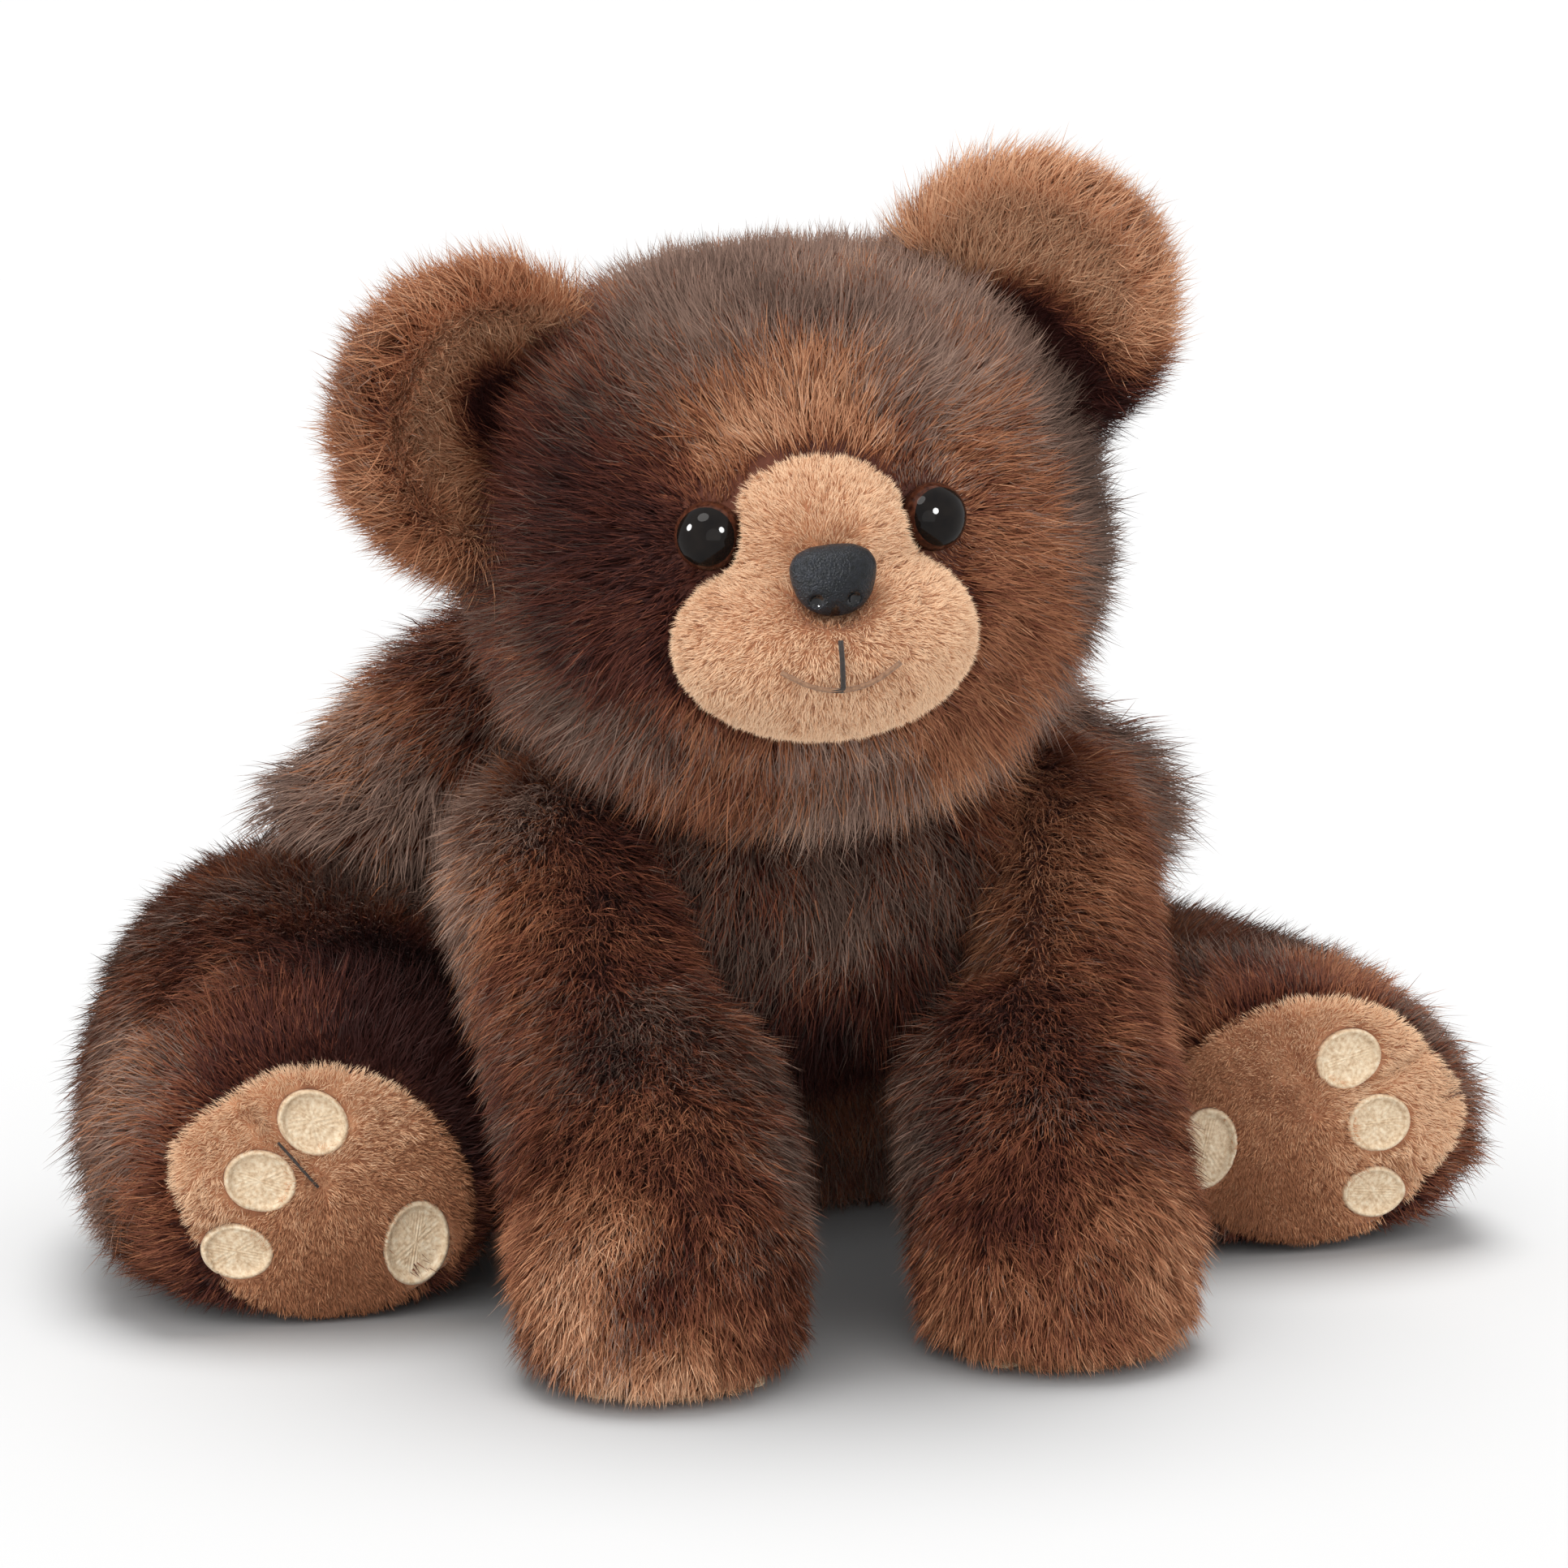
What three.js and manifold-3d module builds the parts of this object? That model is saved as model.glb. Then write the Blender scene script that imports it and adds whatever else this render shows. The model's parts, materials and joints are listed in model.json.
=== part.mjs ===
// A plush teddy bear with disc joints at the neck, shoulders and hips, seated and leaning on its front paws.
// Millimetres, +Z up. The bear faces along -Y, so its left side is on +X, and it stands on the plane z = 0.
//
// Every stuffed body (torso, head, arm, leg) is described by one function of an inset: the shape at inset 0 is
// the outside of the fabric, at WALL its inside, and a little deeper the outside of the stuffing.
import * as THREE from "three";
import { mergeVertices } from "three/addons/utils/BufferGeometryUtils.js";
import Module from "manifold-3d";

const wasm = await Module();
wasm.setup();

// ---- Driving dimensions ----

const WALL = 2.5; // plush fabric with its backing
const GAP = 0.3; // free space between neighbouring pieces
const JOINT_GAP = 0.6; // between a limb's flat and the torso's flat
const FAR = 400; // reach of a cutter that runs out of the bear
const X = new THREE.Vector3(1, 0, 0);
const Y = new THREE.Vector3(0, 1, 0);
const Z = new THREE.Vector3(0, 0, 1);

const TORSO = {
  back: { centre: [-8, 48, 80], half: [118, 50, 96], lean: -6 }, // the stuffing has shifted to its right
  chest: { centre: [0, -8, 105], half: [62, 46, 58], lean: 0 },
};
const HEAD = {
  half: [70, 61, 67],
  jowls: { wider: 0.06, at: -0.35 }, // the head is widest a little below its middle
  taper: 0.03, // share of its width that it loses from the middle to the top
  crown: 2.3, // over 2, the top of the head is squarer than an ellipse
  neckToCentre: 51,
  yaw: THREE.MathUtils.degToRad(-6), // turned a little to the bear's right
  roll: THREE.MathUtils.degToRad(4), // and tilted to its right shoulder
};
const MUZZLE = {
  snout: { centre: [-1, -58, -19], half: [36.5, 33, 24] },
  bridge: { centre: [-1, -50, 2.5], half: [25, 31, 22.5] },
};
// A stitch runs down from the nose to the lowest point of a smile that rises by curl times distance squared.
const MOUTH = {
  middle: -2,
  low: -26.5,
  curl: 0.028,
  across: [-13.5, -7, 0, 7, 13.5],
  down: [-15, -19, -23, -26.8],
  thread: 0.6,
};
const EYE = { radius: 8, height: 6.2, at: [25.5, 6.5], proud: 1.8, shank: 2.2, shankLength: 11.7 };
const NOSE = { half: [9.8, 6.3, 8.3], centre: [-2, -86, -2], flare: 0.22, shank: 2.5, shankLength: 13 };
const NOSE_SEAT = 1; // the dent in the muzzle is this much larger than the nose
// The washer that holds an eye or the nose, pressed on its shank inside the fabric.
const EYE_WASHER = { radius: 6, thick: 1.5, depth: 3.4 };
// The ears are sewn on by hand: the right one sits lower and further out, and is a little larger.
const EAR = {
  left: { middle: [63.5, 6, 48.5], radius: 29.5 },
  right: { middle: [-75.5, 6, 31], radius: 31.5 },
  cup: 42, // radius of the cup's back
  depth: 34, // from the cup's rim to its back
  thick: 4,
  turn: THREE.MathUtils.degToRad(20),
};

// Each axis points out of the torso into the part that turns. tipped(v, a, b) tips v forwards by a degrees
// and then to the bear's right by b.
const tipped = (v, forwards, aside) =>
  v
    .clone()
    .applyAxisAngle(X, THREE.MathUtils.degToRad(forwards))
    .applyAxisAngle(Y, THREE.MathUtils.degToRad(-aside));
const JOINTS = {
  neck: { at: new THREE.Vector3(0, -6, 139.5), axis: tipped(Z, 25, 6.5), disc: 20, stem: 5 },
  shoulder: { at: new THREE.Vector3(44, -20, 106), axis: tipped(X, 0, -12), disc: 15, stem: 4.5 },
  hip: { at: new THREE.Vector3(82, 46, 39), axis: tipped(X, 0, 0), disc: 12, stem: 4.5 },
};
// The radius that the torso leaves free round each axis.
const CLEAR = { neck: 76, shoulder: 42, hip: { left: 56, right: 69 } };
const CHEST_REACH = 63; // beyond this distance from the shoulder's axis the arm is clear of the chest
const ARM_SWING = { left: -4, right: 9, from: -20, to: -104 }; // how far out each paw stands, growing along -Y

// Arm and leg stations: [centre x, y, z, half width, half height]. The first and last close to a point.
const ARM = [
  [58, 0, 121, 0, 0],
  [58, -3, 119, 17, 16],
  [58, -10, 112, 27, 25],
  [57, -24, 99, 30.5, 29],
  [52.5, -45, 80, 30.5, 30],
  [47.5, -68, 59, 31.5, 31],
  [45, -90, 38, 33.5, 34],
  [45, -104, 22, 34.5, 33],
  [45, -115, 9, 30, 26],
  [45, -123, 0, 15, 14],
  [45, -125, -3, 0, 0],
];
const LEGS = {
  right: [
    [115, 88, 48, 0, 0],
    [115, 85, 48, 22, 20],
    [116, 72, 49, 39, 38],
    [118, 48, 50, 46, 47],
    [120, 22, 50, 48, 48],
    [122, 2, 46, 48, 45],
    [123, -16, 40, 46, 41],
    [123, -34, 35, 42, 36],
    [123, -50, 33, 38, 32],
    [123, -54, 33, 0, 0],
  ],
  left: [
    [113, 88, 38, 0, 0],
    [113, 85, 38, 20, 16],
    [113, 72, 37, 33, 28],
    [115, 48, 36, 40, 31],
    [118, 22, 35, 44, 33],
    [121, 2, 34, 45, 34],
    [124, -16, 34, 44.5, 35],
    [125, -34, 34, 43, 35],
    [125, -50, 33, 40, 32.5],
    [125, -54, 33, 0, 0],
  ],
};
const LEG_SPREAD = 0.35; // squares off a leg's underside
const SOLE = {
  front: -47,
  thick: 3,
  lobe: 2.2, // how far the toes stand out of the oval
  narrow: 0.1, // share of its height that the heel end loses
  sides: 24,
  left: { half: [40, 31], centre: [124, 34], turn: 0 },
  right: { half: [36, 30], centre: [123, 31.5], turn: THREE.MathUtils.degToRad(20) },
};
const PAW = { thick: 3, half: [26, 26], centre: [45, -104] };
const PATCH = 1; // thickness of an embroidered patch
const PATCH_LIFT = 0.2; // the paws' patches stay just off the floor
// Patches: [along the foot, across it, half length, half width, turn], measured from the middle of the right
// sole. The left sole is longer, and its patches stand further apart along it.
const TOES = [
  [9, 16, 8.8, 7.4, 0.25],
  [16.5, -1, 8.6, 7.4, 0],
  [16, -19, 8.6, 6.6, -0.1],
];
const HEEL = [-24.5, -5, 8, 10.5, -0.2];
const PAW_TOES = [
  [-15, -12.5, 6, 5, 0.5],
  [0, -18, 6, 5, 0],
  [15, -12.5, 6, 5, -0.5],
];
const PALM = [0, 6, 10, 8, 0];

const PELLET_BAG = { centre: [0, 51, 12], half: [42, 20, 18] };
const STUFFING_INSET = WALL + GAP + 0.2;

// ---- Materials ----

const plush = (color) => new THREE.MeshStandardMaterial({ color, roughness: 0.95, metalness: 0 });
const MATERIALS = {
  fur: plush(0x5a382c),
  earLining: plush(0x2c1c1a),
  muzzle: plush(0xc4976e),
  pad: plush(0xa8764f),
  patch: new THREE.MeshStandardMaterial({ color: 0xe8d3a9, roughness: 0.6, metalness: 0 }),
  thread: new THREE.MeshStandardMaterial({ color: 0x2b1712, roughness: 0.7, metalness: 0 }),
  eye: new THREE.MeshStandardMaterial({ color: 0x120c0b, roughness: 0.08, metalness: 0 }),
  nose: new THREE.MeshStandardMaterial({ color: 0x23252b, roughness: 0.4, metalness: 0 }),
  stuffing: plush(0xf1efe9),
  pellets: plush(0xd9d4c8),
  joint: new THREE.MeshStandardMaterial({ color: 0xe6e2d8, roughness: 0.45, metalness: 0 }),
};

// ---- Solids ----

function solid(geometry) {
  const bare = new THREE.BufferGeometry();
  bare.setAttribute("position", geometry.getAttribute("position"));
  bare.setIndex(geometry.index);
  const merged = mergeVertices(bare, 1e-3);
  const triVerts = [];
  const index = merged.index.array;
  for (let i = 0; i < index.length; i += 3) {
    const [a, b, c] = index.slice(i, i + 3);
    if (a !== b && b !== c && c !== a) triVerts.push(a, b, c);
  }
  return new wasm.Manifold(
    new wasm.Mesh({
      numProp: 3,
      vertProperties: merged.attributes.position.array,
      triVerts: new Uint32Array(triVerts),
    }),
  );
}

function geometryOf(shape) {
  const mesh = shape.getMesh();
  const geometry = new THREE.BufferGeometry();
  const points = new Float32Array(mesh.numVert * 3);
  for (let i = 0; i < mesh.numVert; i++)
    for (let k = 0; k < 3; k++) points[3 * i + k] = mesh.vertProperties[mesh.numProp * i + k];
  geometry.setAttribute("position", new THREE.BufferAttribute(points, 3));
  geometry.setIndex(new THREE.BufferAttribute(new Uint32Array(mesh.triVerts), 1));
  geometry.computeVertexNormals();
  return geometry;
}

// Moves every vertex inwards along its normal.
function insetGeometry(geometry, inset) {
  if (!inset) return geometry;
  const bare = new THREE.BufferGeometry();
  bare.setAttribute("position", geometry.getAttribute("position"));
  bare.setIndex(geometry.index);
  const merged = mergeVertices(bare, 1e-3);
  merged.computeVertexNormals();
  const { position, normal } = merged.attributes;
  for (let i = 0; i < position.count; i++)
    position.setXYZ(
      i,
      position.getX(i) - inset * normal.getX(i),
      position.getY(i) - inset * normal.getY(i),
      position.getZ(i) - inset * normal.getZ(i),
    );
  return merged;
}

// Facets round a body: the fabric's inside and the stuffing need fewer than the outside.
const facets = (inset, outside) => (inset > 0 ? Math.round(0.7 * outside) : outside);

// An ellipsoid with its poles on Z, whose middle shifts along Y by lean from the equator to the top.
function egg({ centre, half, lean = 0 }, inset, around = 18, up = 10) {
  const geometry = new THREE.SphereGeometry(1, around, up).rotateX(Math.PI / 2);
  const position = geometry.getAttribute("position");
  for (let i = 0; i < position.count; i++) {
    const z = position.getZ(i);
    position.setXYZ(
      i,
      centre[0] + half[0] * position.getX(i),
      centre[1] + half[1] * position.getY(i) + lean * z,
      centre[2] + half[2] * z,
    );
  }
  return solid(insetGeometry(geometry, inset));
}

// A closed skin over elliptical sections. Each section stands square to the line of the stations and
// keeps its width along X. A spread under 1 squares off its lower half, as stuffing does on a floor.
function loft(stations, inset, spread = 1) {
  const around = facets(inset, 16);
  const line = new THREE.CatmullRomCurve3(stations.map(([x, y, z]) => new THREE.Vector3(x, y, z)));
  const last = stations.length - 1;
  const points = [];
  stations.forEach(([x, y, z, wide, high], i) => {
    const along = line.getTangent(i / last);
    const lift = new THREE.Vector3().crossVectors(along, X).normalize();
    const count = i === 0 || i === last ? 1 : around;
    for (let k = 0; k < count; k++) {
      const turn = (2 * Math.PI * k) / around;
      const [across, upward] = [Math.cos(turn), Math.sin(turn)];
      const power = upward < 0 ? spread : 1;
      const point = new THREE.Vector3(x, y, z)
        .addScaledVector(X, wide * Math.sign(across) * Math.abs(across) ** power)
        .addScaledVector(lift, high * upward);
      points.push(point);
    }
  });
  const vertex = (i, k) => {
    if (i === 0) return 0;
    return i === last ? points.length - 1 : 1 + (i - 1) * around + (k % around);
  };
  const index = [];
  for (let i = 0; i < last; i++)
    for (let k = 0; k < around; k++) {
      const [a, b, c, d] = [vertex(i, k), vertex(i, k + 1), vertex(i + 1, k + 1), vertex(i + 1, k)];
      if (i > 0) index.push(a, b, c);
      if (i < last - 1) index.push(a, c, d);
    }
  const geometry = new THREE.BufferGeometry().setFromPoints(points);
  geometry.setIndex(index);
  return solid(insetGeometry(geometry, inset));
}

// Places a geometry whose own axis is +Z at a point, with that axis along a direction.
function place(geometry, at, axis) {
  const turn = new THREE.Quaternion().setFromUnitVectors(Z, axis);
  return geometry.applyQuaternion(turn).translate(at.x, at.y, at.z);
}

// A solid of revolution about +Z from [radius, height] points, from the lowest to the highest.
function turned(outline, segments = 12) {
  return new THREE.LatheGeometry(
    outline.map(([r, h]) => new THREE.Vector2(r, h)),
    segments,
  ).rotateX(Math.PI / 2);
}

// A round bar along an axis, from one distance to another.
function bar({ at, axis }, radius, from, to, segments = 12) {
  const height = to - from;
  const cylinder = new THREE.CylinderGeometry(radius, radius, height, segments).rotateX(Math.PI / 2);
  return solid(place(cylinder.translate(0, 0, (from + to) / 2), at, axis));
}

// All the space beyond a plane.
function beyond({ at, axis }, offset = 0) {
  const box = new THREE.BoxGeometry(2 * FAR, 2 * FAR, FAR).translate(0, 0, FAR / 2 + offset);
  return solid(place(box, at, axis));
}

// The same solid on the bear's other side.
function mirrored(shape) {
  const geometry = geometryOf(shape).scale(-1, 1, 1);
  const corners = geometry.index.array;
  for (let i = 0; i < corners.length; i += 3) [corners[i], corners[i + 1]] = [corners[i + 1], corners[i]];
  return solid(geometry);
}

const SIDES = ["left", "right"];
const ON_SIDE = { left: (shape) => shape, right: mirrored };
const both = (shape) => shape.add(mirrored(shape));
const opposite = (joint) => ({ at: joint.at, axis: joint.axis.clone().negate() });

// ---- Stuffed bodies, each a function of the inset ----

// Where the torso is cut, the cut moves in with the inset, so that the fabric keeps its thickness.
function torso(inset) {
  const { neck, shoulder, hip } = JOINTS;
  const under = JOINT_GAP / 2 + inset;
  const [around, up] = [facets(inset, 18), facets(inset, 12)];
  const chest = egg(TORSO.chest, inset, around, up).subtract(both(beyond(shoulder, -under)));
  const legRoom = (side) => ON_SIDE[side](bar(hip, CLEAR.hip[side] + inset, -under, FAR, around));
  return egg(TORSO.back, inset, around, up)
    .subtract(both(bar(shoulder, CLEAR.shoulder + inset, -under, FAR, around)))
    .add(chest)
    .subtract(legRoom("left"))
    .subtract(legRoom("right"))
    .subtract(bar(neck, CLEAR.neck + inset, -under, FAR, around))
    .subtract(beyond({ at: new THREE.Vector3(), axis: Z.clone().negate() }, -inset));
}

const headCentre = JOINTS.neck.at.clone().addScaledVector(JOINTS.neck.axis, HEAD.neckToCentre);
const headTurn = new THREE.Quaternion()
  .setFromAxisAngle(Z, HEAD.yaw)
  .multiply(new THREE.Quaternion().setFromAxisAngle(Y, -HEAD.roll));

// Takes a solid from the head's own frame to the bear's.
function inHead(shape) {
  const matrix = new THREE.Matrix4().compose(headCentre, headTurn, new THREE.Vector3(1, 1, 1));
  return solid(geometryOf(shape).applyMatrix4(matrix));
}

// How much wider a squared crown is than an ellipse, at a height from 0 at the head's middle to 1 at its top.
function squared(z) {
  if (z <= 0 || z > 0.999) return 1;
  return (1 - z ** HEAD.crown) ** (1 / HEAD.crown) / Math.sqrt(1 - z ** 2);
}

function skull(inset) {
  const geometry = new THREE.SphereGeometry(1, facets(inset, 20), facets(inset, 14)).rotateX(Math.PI / 2);
  const position = geometry.getAttribute("position");
  const [wide, deep, high] = HEAD.half;
  for (let i = 0; i < position.count; i++) {
    const [x, y, z] = [position.getX(i), position.getY(i), position.getZ(i)];
    const fromJowls = Math.min(1, Math.abs(z - HEAD.jowls.at));
    const widening = 1 + HEAD.jowls.wider * Math.cos(Math.PI * fromJowls) - HEAD.taper * z;
    position.setXYZ(i, wide * widening * squared(z) * x, deep * y, high * z);
  }
  return solid(insetGeometry(geometry, inset));
}

function head(inset) {
  return inHead(skull(inset)).subtract(beyond(opposite(JOINTS.neck), -(JOINT_GAP / 2 + inset)));
}

// How far out a point of an arm stands, from how far forwards it is.
function swing(side, y) {
  const { from, to } = ARM_SWING;
  return (ARM_SWING[side] * Math.max(0, from - y)) / (from - to);
}

function arm(side, inset) {
  const floor = { at: new THREE.Vector3(0, 0, PAW.thick + GAP), axis: Z.clone().negate() };
  const stations = ARM.map(([x, y, ...rest]) => [x + swing(side, y), y, ...rest]);
  return loft(stations, inset)
    .subtract(bar(opposite(JOINTS.shoulder), CHEST_REACH + inset, -(JOINT_GAP / 2 + inset), FAR, 16))
    .subtract(beyond(floor, -inset));
}

function leg(side, inset) {
  const floor = { at: new THREE.Vector3(), axis: Z.clone().negate() };
  const front = { at: new THREE.Vector3(0, SOLE.front + SOLE.thick + GAP, 0), axis: Y.clone().negate() };
  return loft(LEGS[side], inset, LEG_SPREAD)
    .subtract(beyond(opposite(JOINTS.hip), -(JOINT_GAP / 2 + inset)))
    .subtract(beyond(floor, -inset))
    .subtract(beyond(front, -inset));
}

// ---- Joint hardware: a disc on a stem in the limb, and a washer and a locking ring in the torso ----

const INSIDE = JOINT_GAP / 2 + WALL + GAP; // from the joint's plane to the first piece inside a skin
const DISC_THICK = 2.5;
const WASHER_THICK = 2;
const RING = { wide: 4.5, thick: 3.5 };
const STEM_END = -(INSIDE + WASHER_THICK + GAP + RING.thick + 2);

function stemDisc({ disc, stem }) {
  return turned([
    [0, STEM_END],
    [stem - 1, STEM_END],
    [stem, STEM_END + 1.5],
    [stem, INSIDE],
    [disc, INSIDE],
    [disc, INSIDE + DISC_THICK],
    [0, INSIDE + DISC_THICK],
  ]);
}

function ringAround(bore, outer, from, to) {
  return turned([
    [bore, from],
    [outer, from],
    [outer, to],
    [bore, to],
    [bore, from],
  ]);
}

const washer = ({ disc, stem }) => ringAround(stem + GAP, disc, -INSIDE - WASHER_THICK, -INSIDE);
function lockRing({ stem }) {
  const top = -INSIDE - WASHER_THICK - GAP;
  return ringAround(stem + GAP, stem + RING.wide, top - RING.thick, top);
}

// The hole that a stem needs in both fabrics, and the room that the pieces inside need in the stuffing.
const stemHole = (joint) => bar(joint, joint.stem + 2 * GAP, -INSIDE - 1, INSIDE + 1);
const discRoom = (joint) => bar(joint, joint.disc + 1, 0, INSIDE + DISC_THICK + GAP);
const washerRoom = (joint) =>
  bar(joint, joint.disc + 1, -INSIDE - WASHER_THICK - 2 * GAP, 0).add(
    bar(joint, joint.stem + RING.wide + 1, STEM_END - 1, 0),
  );

// ---- Face ----

// The point of the skull's front at a place beside the nose, and the way the fabric faces there.
function onFace(x, z) {
  const [wide, deep, high] = HEAD.half;
  const y = -deep * Math.sqrt(1 - (x / wide) ** 2 - (z / high) ** 2);
  return { point: [x, y, z], normal: [x / wide ** 2, y / deep ** 2, z / high ** 2] };
}

const eyeOutline = [
  [0, -EYE.shankLength],
  [EYE.shank, -EYE.shankLength],
  [EYE.shank, 0],
  [EYE.radius, 0],
  ...[0.25, 0.5, 0.75].map((t) => [
    EYE.radius * Math.cos((t * Math.PI) / 2),
    EYE.height * Math.sin((t * Math.PI) / 2),
  ]),
  [0, EYE.height],
];

// Eyes, their washers, and the room both need, in the head's own frame. side is 1 on the bear's left.
function eye(side) {
  const { point, normal } = onFace(EYE.at[0] * side, EYE.at[1]);
  const axis = new THREE.Vector3(...normal).normalize();
  const at = new THREE.Vector3(...point).addScaledVector(axis, EYE.proud);
  const frame = { at, axis };
  const washerTop = -(WALL + EYE.proud + EYE_WASHER.depth);
  const ring = ringAround(EYE.shank + GAP, EYE_WASHER.radius, washerTop - EYE_WASHER.thick, washerTop);
  return {
    dome: solid(place(turned(eyeOutline), at, axis)),
    washer: solid(place(ring, at, axis)),
    hole: bar(frame, EYE.shank + GAP, -2 * WALL - EYE.proud, EYE.proud),
    room: bar(frame, EYE_WASHER.radius + 1, -EYE.shankLength - 1, 0),
    socket: bar(frame, EYE.radius + 2 * GAP, -WALL, FAR / 4),
  };
}

// A plastic nose: broad above, narrow below, on a shank that a washer holds inside the muzzle.
function noseParts() {
  const geometry = new THREE.SphereGeometry(1, 16, 10);
  const position = geometry.getAttribute("position");
  for (let i = 0; i < position.count; i++) {
    const [x, y, z] = [position.getX(i), position.getY(i), position.getZ(i)];
    position.setXYZ(i, NOSE.half[0] * x * (1 + NOSE.flare * z), NOSE.half[1] * y, NOSE.half[2] * z);
  }
  const at = new THREE.Vector3(...NOSE.centre);
  const frame = { at, axis: Y.clone().negate() };
  const { radius, thick } = EYE_WASHER;
  const washerFrom = -NOSE.shankLength + 1;
  const ring = ringAround(NOSE.shank + GAP, radius, washerFrom, washerFrom + thick);
  const seatHalf = NOSE.half.map((half) => half + NOSE_SEAT);
  return {
    button: solid(geometry.translate(...NOSE.centre)).add(bar(frame, NOSE.shank, -NOSE.shankLength, 0)),
    washer: solid(place(ring, at, frame.axis)),
    seat: egg({ centre: NOSE.centre, half: seatHalf }, 0, 16, 10)
      .add(bar(frame, NOSE.shank + GAP, -NOSE.shankLength - GAP, 0))
      .add(bar(frame, radius + GAP, washerFrom - GAP, washerFrom + thick + GAP)),
  };
}

// The mouth: one thread down from the nose and along the smile, half sunk in the muzzle.
function mouthThread(grow) {
  const { snout } = MUZZLE;
  const [wide, deep, high] = snout.half;
  const front = (aside, z) => {
    const x = MOUTH.middle + aside;
    const [u, v] = [(x - snout.centre[0]) / wide, (z - snout.centre[2]) / high];
    const inside = Math.max(0, 1 - u ** 2 - v ** 2);
    return new THREE.Vector3(x, snout.centre[1] - deep * Math.sqrt(inside), z);
  };
  const section = new THREE.Shape().absarc(0, 0, MOUTH.thread + grow, 0, 2 * Math.PI);
  const run = (points) =>
    solid(
      new THREE.ExtrudeGeometry(section, {
        curveSegments: 3,
        steps: 2 * points.length,
        extrudePath: new THREE.CatmullRomCurve3(points),
      }),
    );
  const smile = MOUTH.across.map((x) => front(x, MOUTH.low + MOUTH.curl * x * x));
  return run(MOUTH.down.map((z) => front(0, z))).add(run(smile));
}

function muzzle(nose, eyes) {
  const shape = egg(MUZZLE.snout, 0).add(egg(MUZZLE.bridge, 0, 16, 10));
  return shape
    .subtract(skull(-GAP))
    .subtract(nose.seat)
    .subtract(mouthThread(GAP / 2))
    .subtract(eyes[0].socket)
    .subtract(eyes[1].socket);
}

// ---- Ears: a cupped back and lining, sewn to the side of the head ----

function ear(side) {
  const outward = side === "left" ? 1 : -1;
  const middle = new THREE.Vector3(...EAR[side].middle);
  const facing = new THREE.Vector3(-outward * Math.sin(EAR.turn), -Math.cos(EAR.turn), 0);
  const cupCentre = middle.clone().addScaledVector(facing, EAR.cup - EAR.thick);
  const outline = bar({ at: middle, axis: facing }, EAR[side].radius, -EAR.cup, EAR.cup, 14);
  const ball = (radius) => solid(new THREE.SphereGeometry(radius, 14, 10).translate(...cupCentre));
  const behind = beyond({ at: cupCentre, axis: facing.clone().negate() }, EAR.cup - EAR.depth);
  const layer = (outer, inner) =>
    ball(outer).subtract(ball(inner)).intersect(outline).intersect(behind).subtract(skull(-GAP));
  return {
    back: layer(EAR.cup, EAR.cup - EAR.thick),
    lining: layer(EAR.cup - EAR.thick - GAP, EAR.cup - 2 * EAR.thick),
  };
}

// ---- Pads and their embroidered patches ----

// An oval of half length along u and half width across, extruded by depth. It lies in the XY plane.
function oval([u, v, long, wide, turn], depth, grow = 0) {
  const shape = new THREE.Shape().absellipse(u, v, long + grow, wide + grow, 0, 2 * Math.PI, false, turn);
  return new THREE.ExtrudeGeometry(shape, { depth, bevelEnabled: false, curveSegments: 6 });
}

// The sole lies in the XZ plane: u runs out to the toes and v up.
function sole(side) {
  const { half, centre, turn: tilt } = SOLE[side];
  const [halfLong, halfHigh] = half;
  const stretch = halfLong / SOLE.right.half[0];
  const outline = [];
  for (let i = 0; i < SOLE.sides; i++) {
    const turn = (2 * Math.PI * i) / SOLE.sides;
    const toes = Math.max(0, Math.cos(turn)) ** 2 * SOLE.lobe * Math.cos(5 * turn);
    const heel = 1 - SOLE.narrow * Math.max(0, -Math.cos(turn));
    const [long, high] = [halfLong + toes, (halfHigh + toes) * heel];
    outline.push(new THREE.Vector2(long * Math.cos(turn), high * Math.sin(turn)));
  }
  const shape = new THREE.Shape(outline);
  const plate = new THREE.ExtrudeGeometry(shape, { depth: SOLE.thick, bevelEnabled: false });
  const [across, up] = centre;
  const stand = (geometry) =>
    solid(geometry.rotateZ(tilt).rotateX(Math.PI / 2).translate(across, SOLE.front + SOLE.thick, up));
  const patches = [...TOES, HEEL].map(([u, ...rest]) => [stretch * u, ...rest]);
  const flush = (patch) => stand(oval(patch, PATCH).translate(0, 0, SOLE.thick - PATCH));
  const pocket = (patch) => stand(oval(patch, 2 * PATCH, GAP).translate(0, 0, SOLE.thick - PATCH - GAP));
  return {
    pad: patches.reduce((pad, patch) => pad.subtract(pocket(patch)), stand(plate)),
    patches: patches.map(flush),
  };
}

// The paw's pad lies on the floor, and its patches are sunk in its underside.
function pawPad(side) {
  const [x, y] = PAW.centre;
  const lay = (geometry) => solid(geometry.translate(x + swing(side, y), y, 0));
  const patches = [...PAW_TOES, PALM];
  const flush = (patch) => lay(oval(patch, PATCH).translate(0, 0, PATCH_LIFT));
  const pocket = (patch) => lay(oval(patch, 2 * PATCH, GAP).translate(0, 0, PATCH_LIFT + GAP - PATCH));
  const plate = lay(oval([0, 0, ...PAW.half, 0], PAW.thick));
  return {
    pad: patches.reduce((pad, patch) => pad.subtract(pocket(patch)), plate),
    patches: patches.map(flush),
  };
}

// ---- Assembly ----

const bear = new THREE.Group();

// One named mesh of a world-frame solid, in a group that stands at the body's pivot.
function addMesh(group, name, shape, material) {
  const { x, y, z } = group.position;
  const mesh = new THREE.Mesh(geometryOf(shape).translate(-x, -y, -z), material);
  mesh.name = name;
  group.add(mesh);
}

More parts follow.
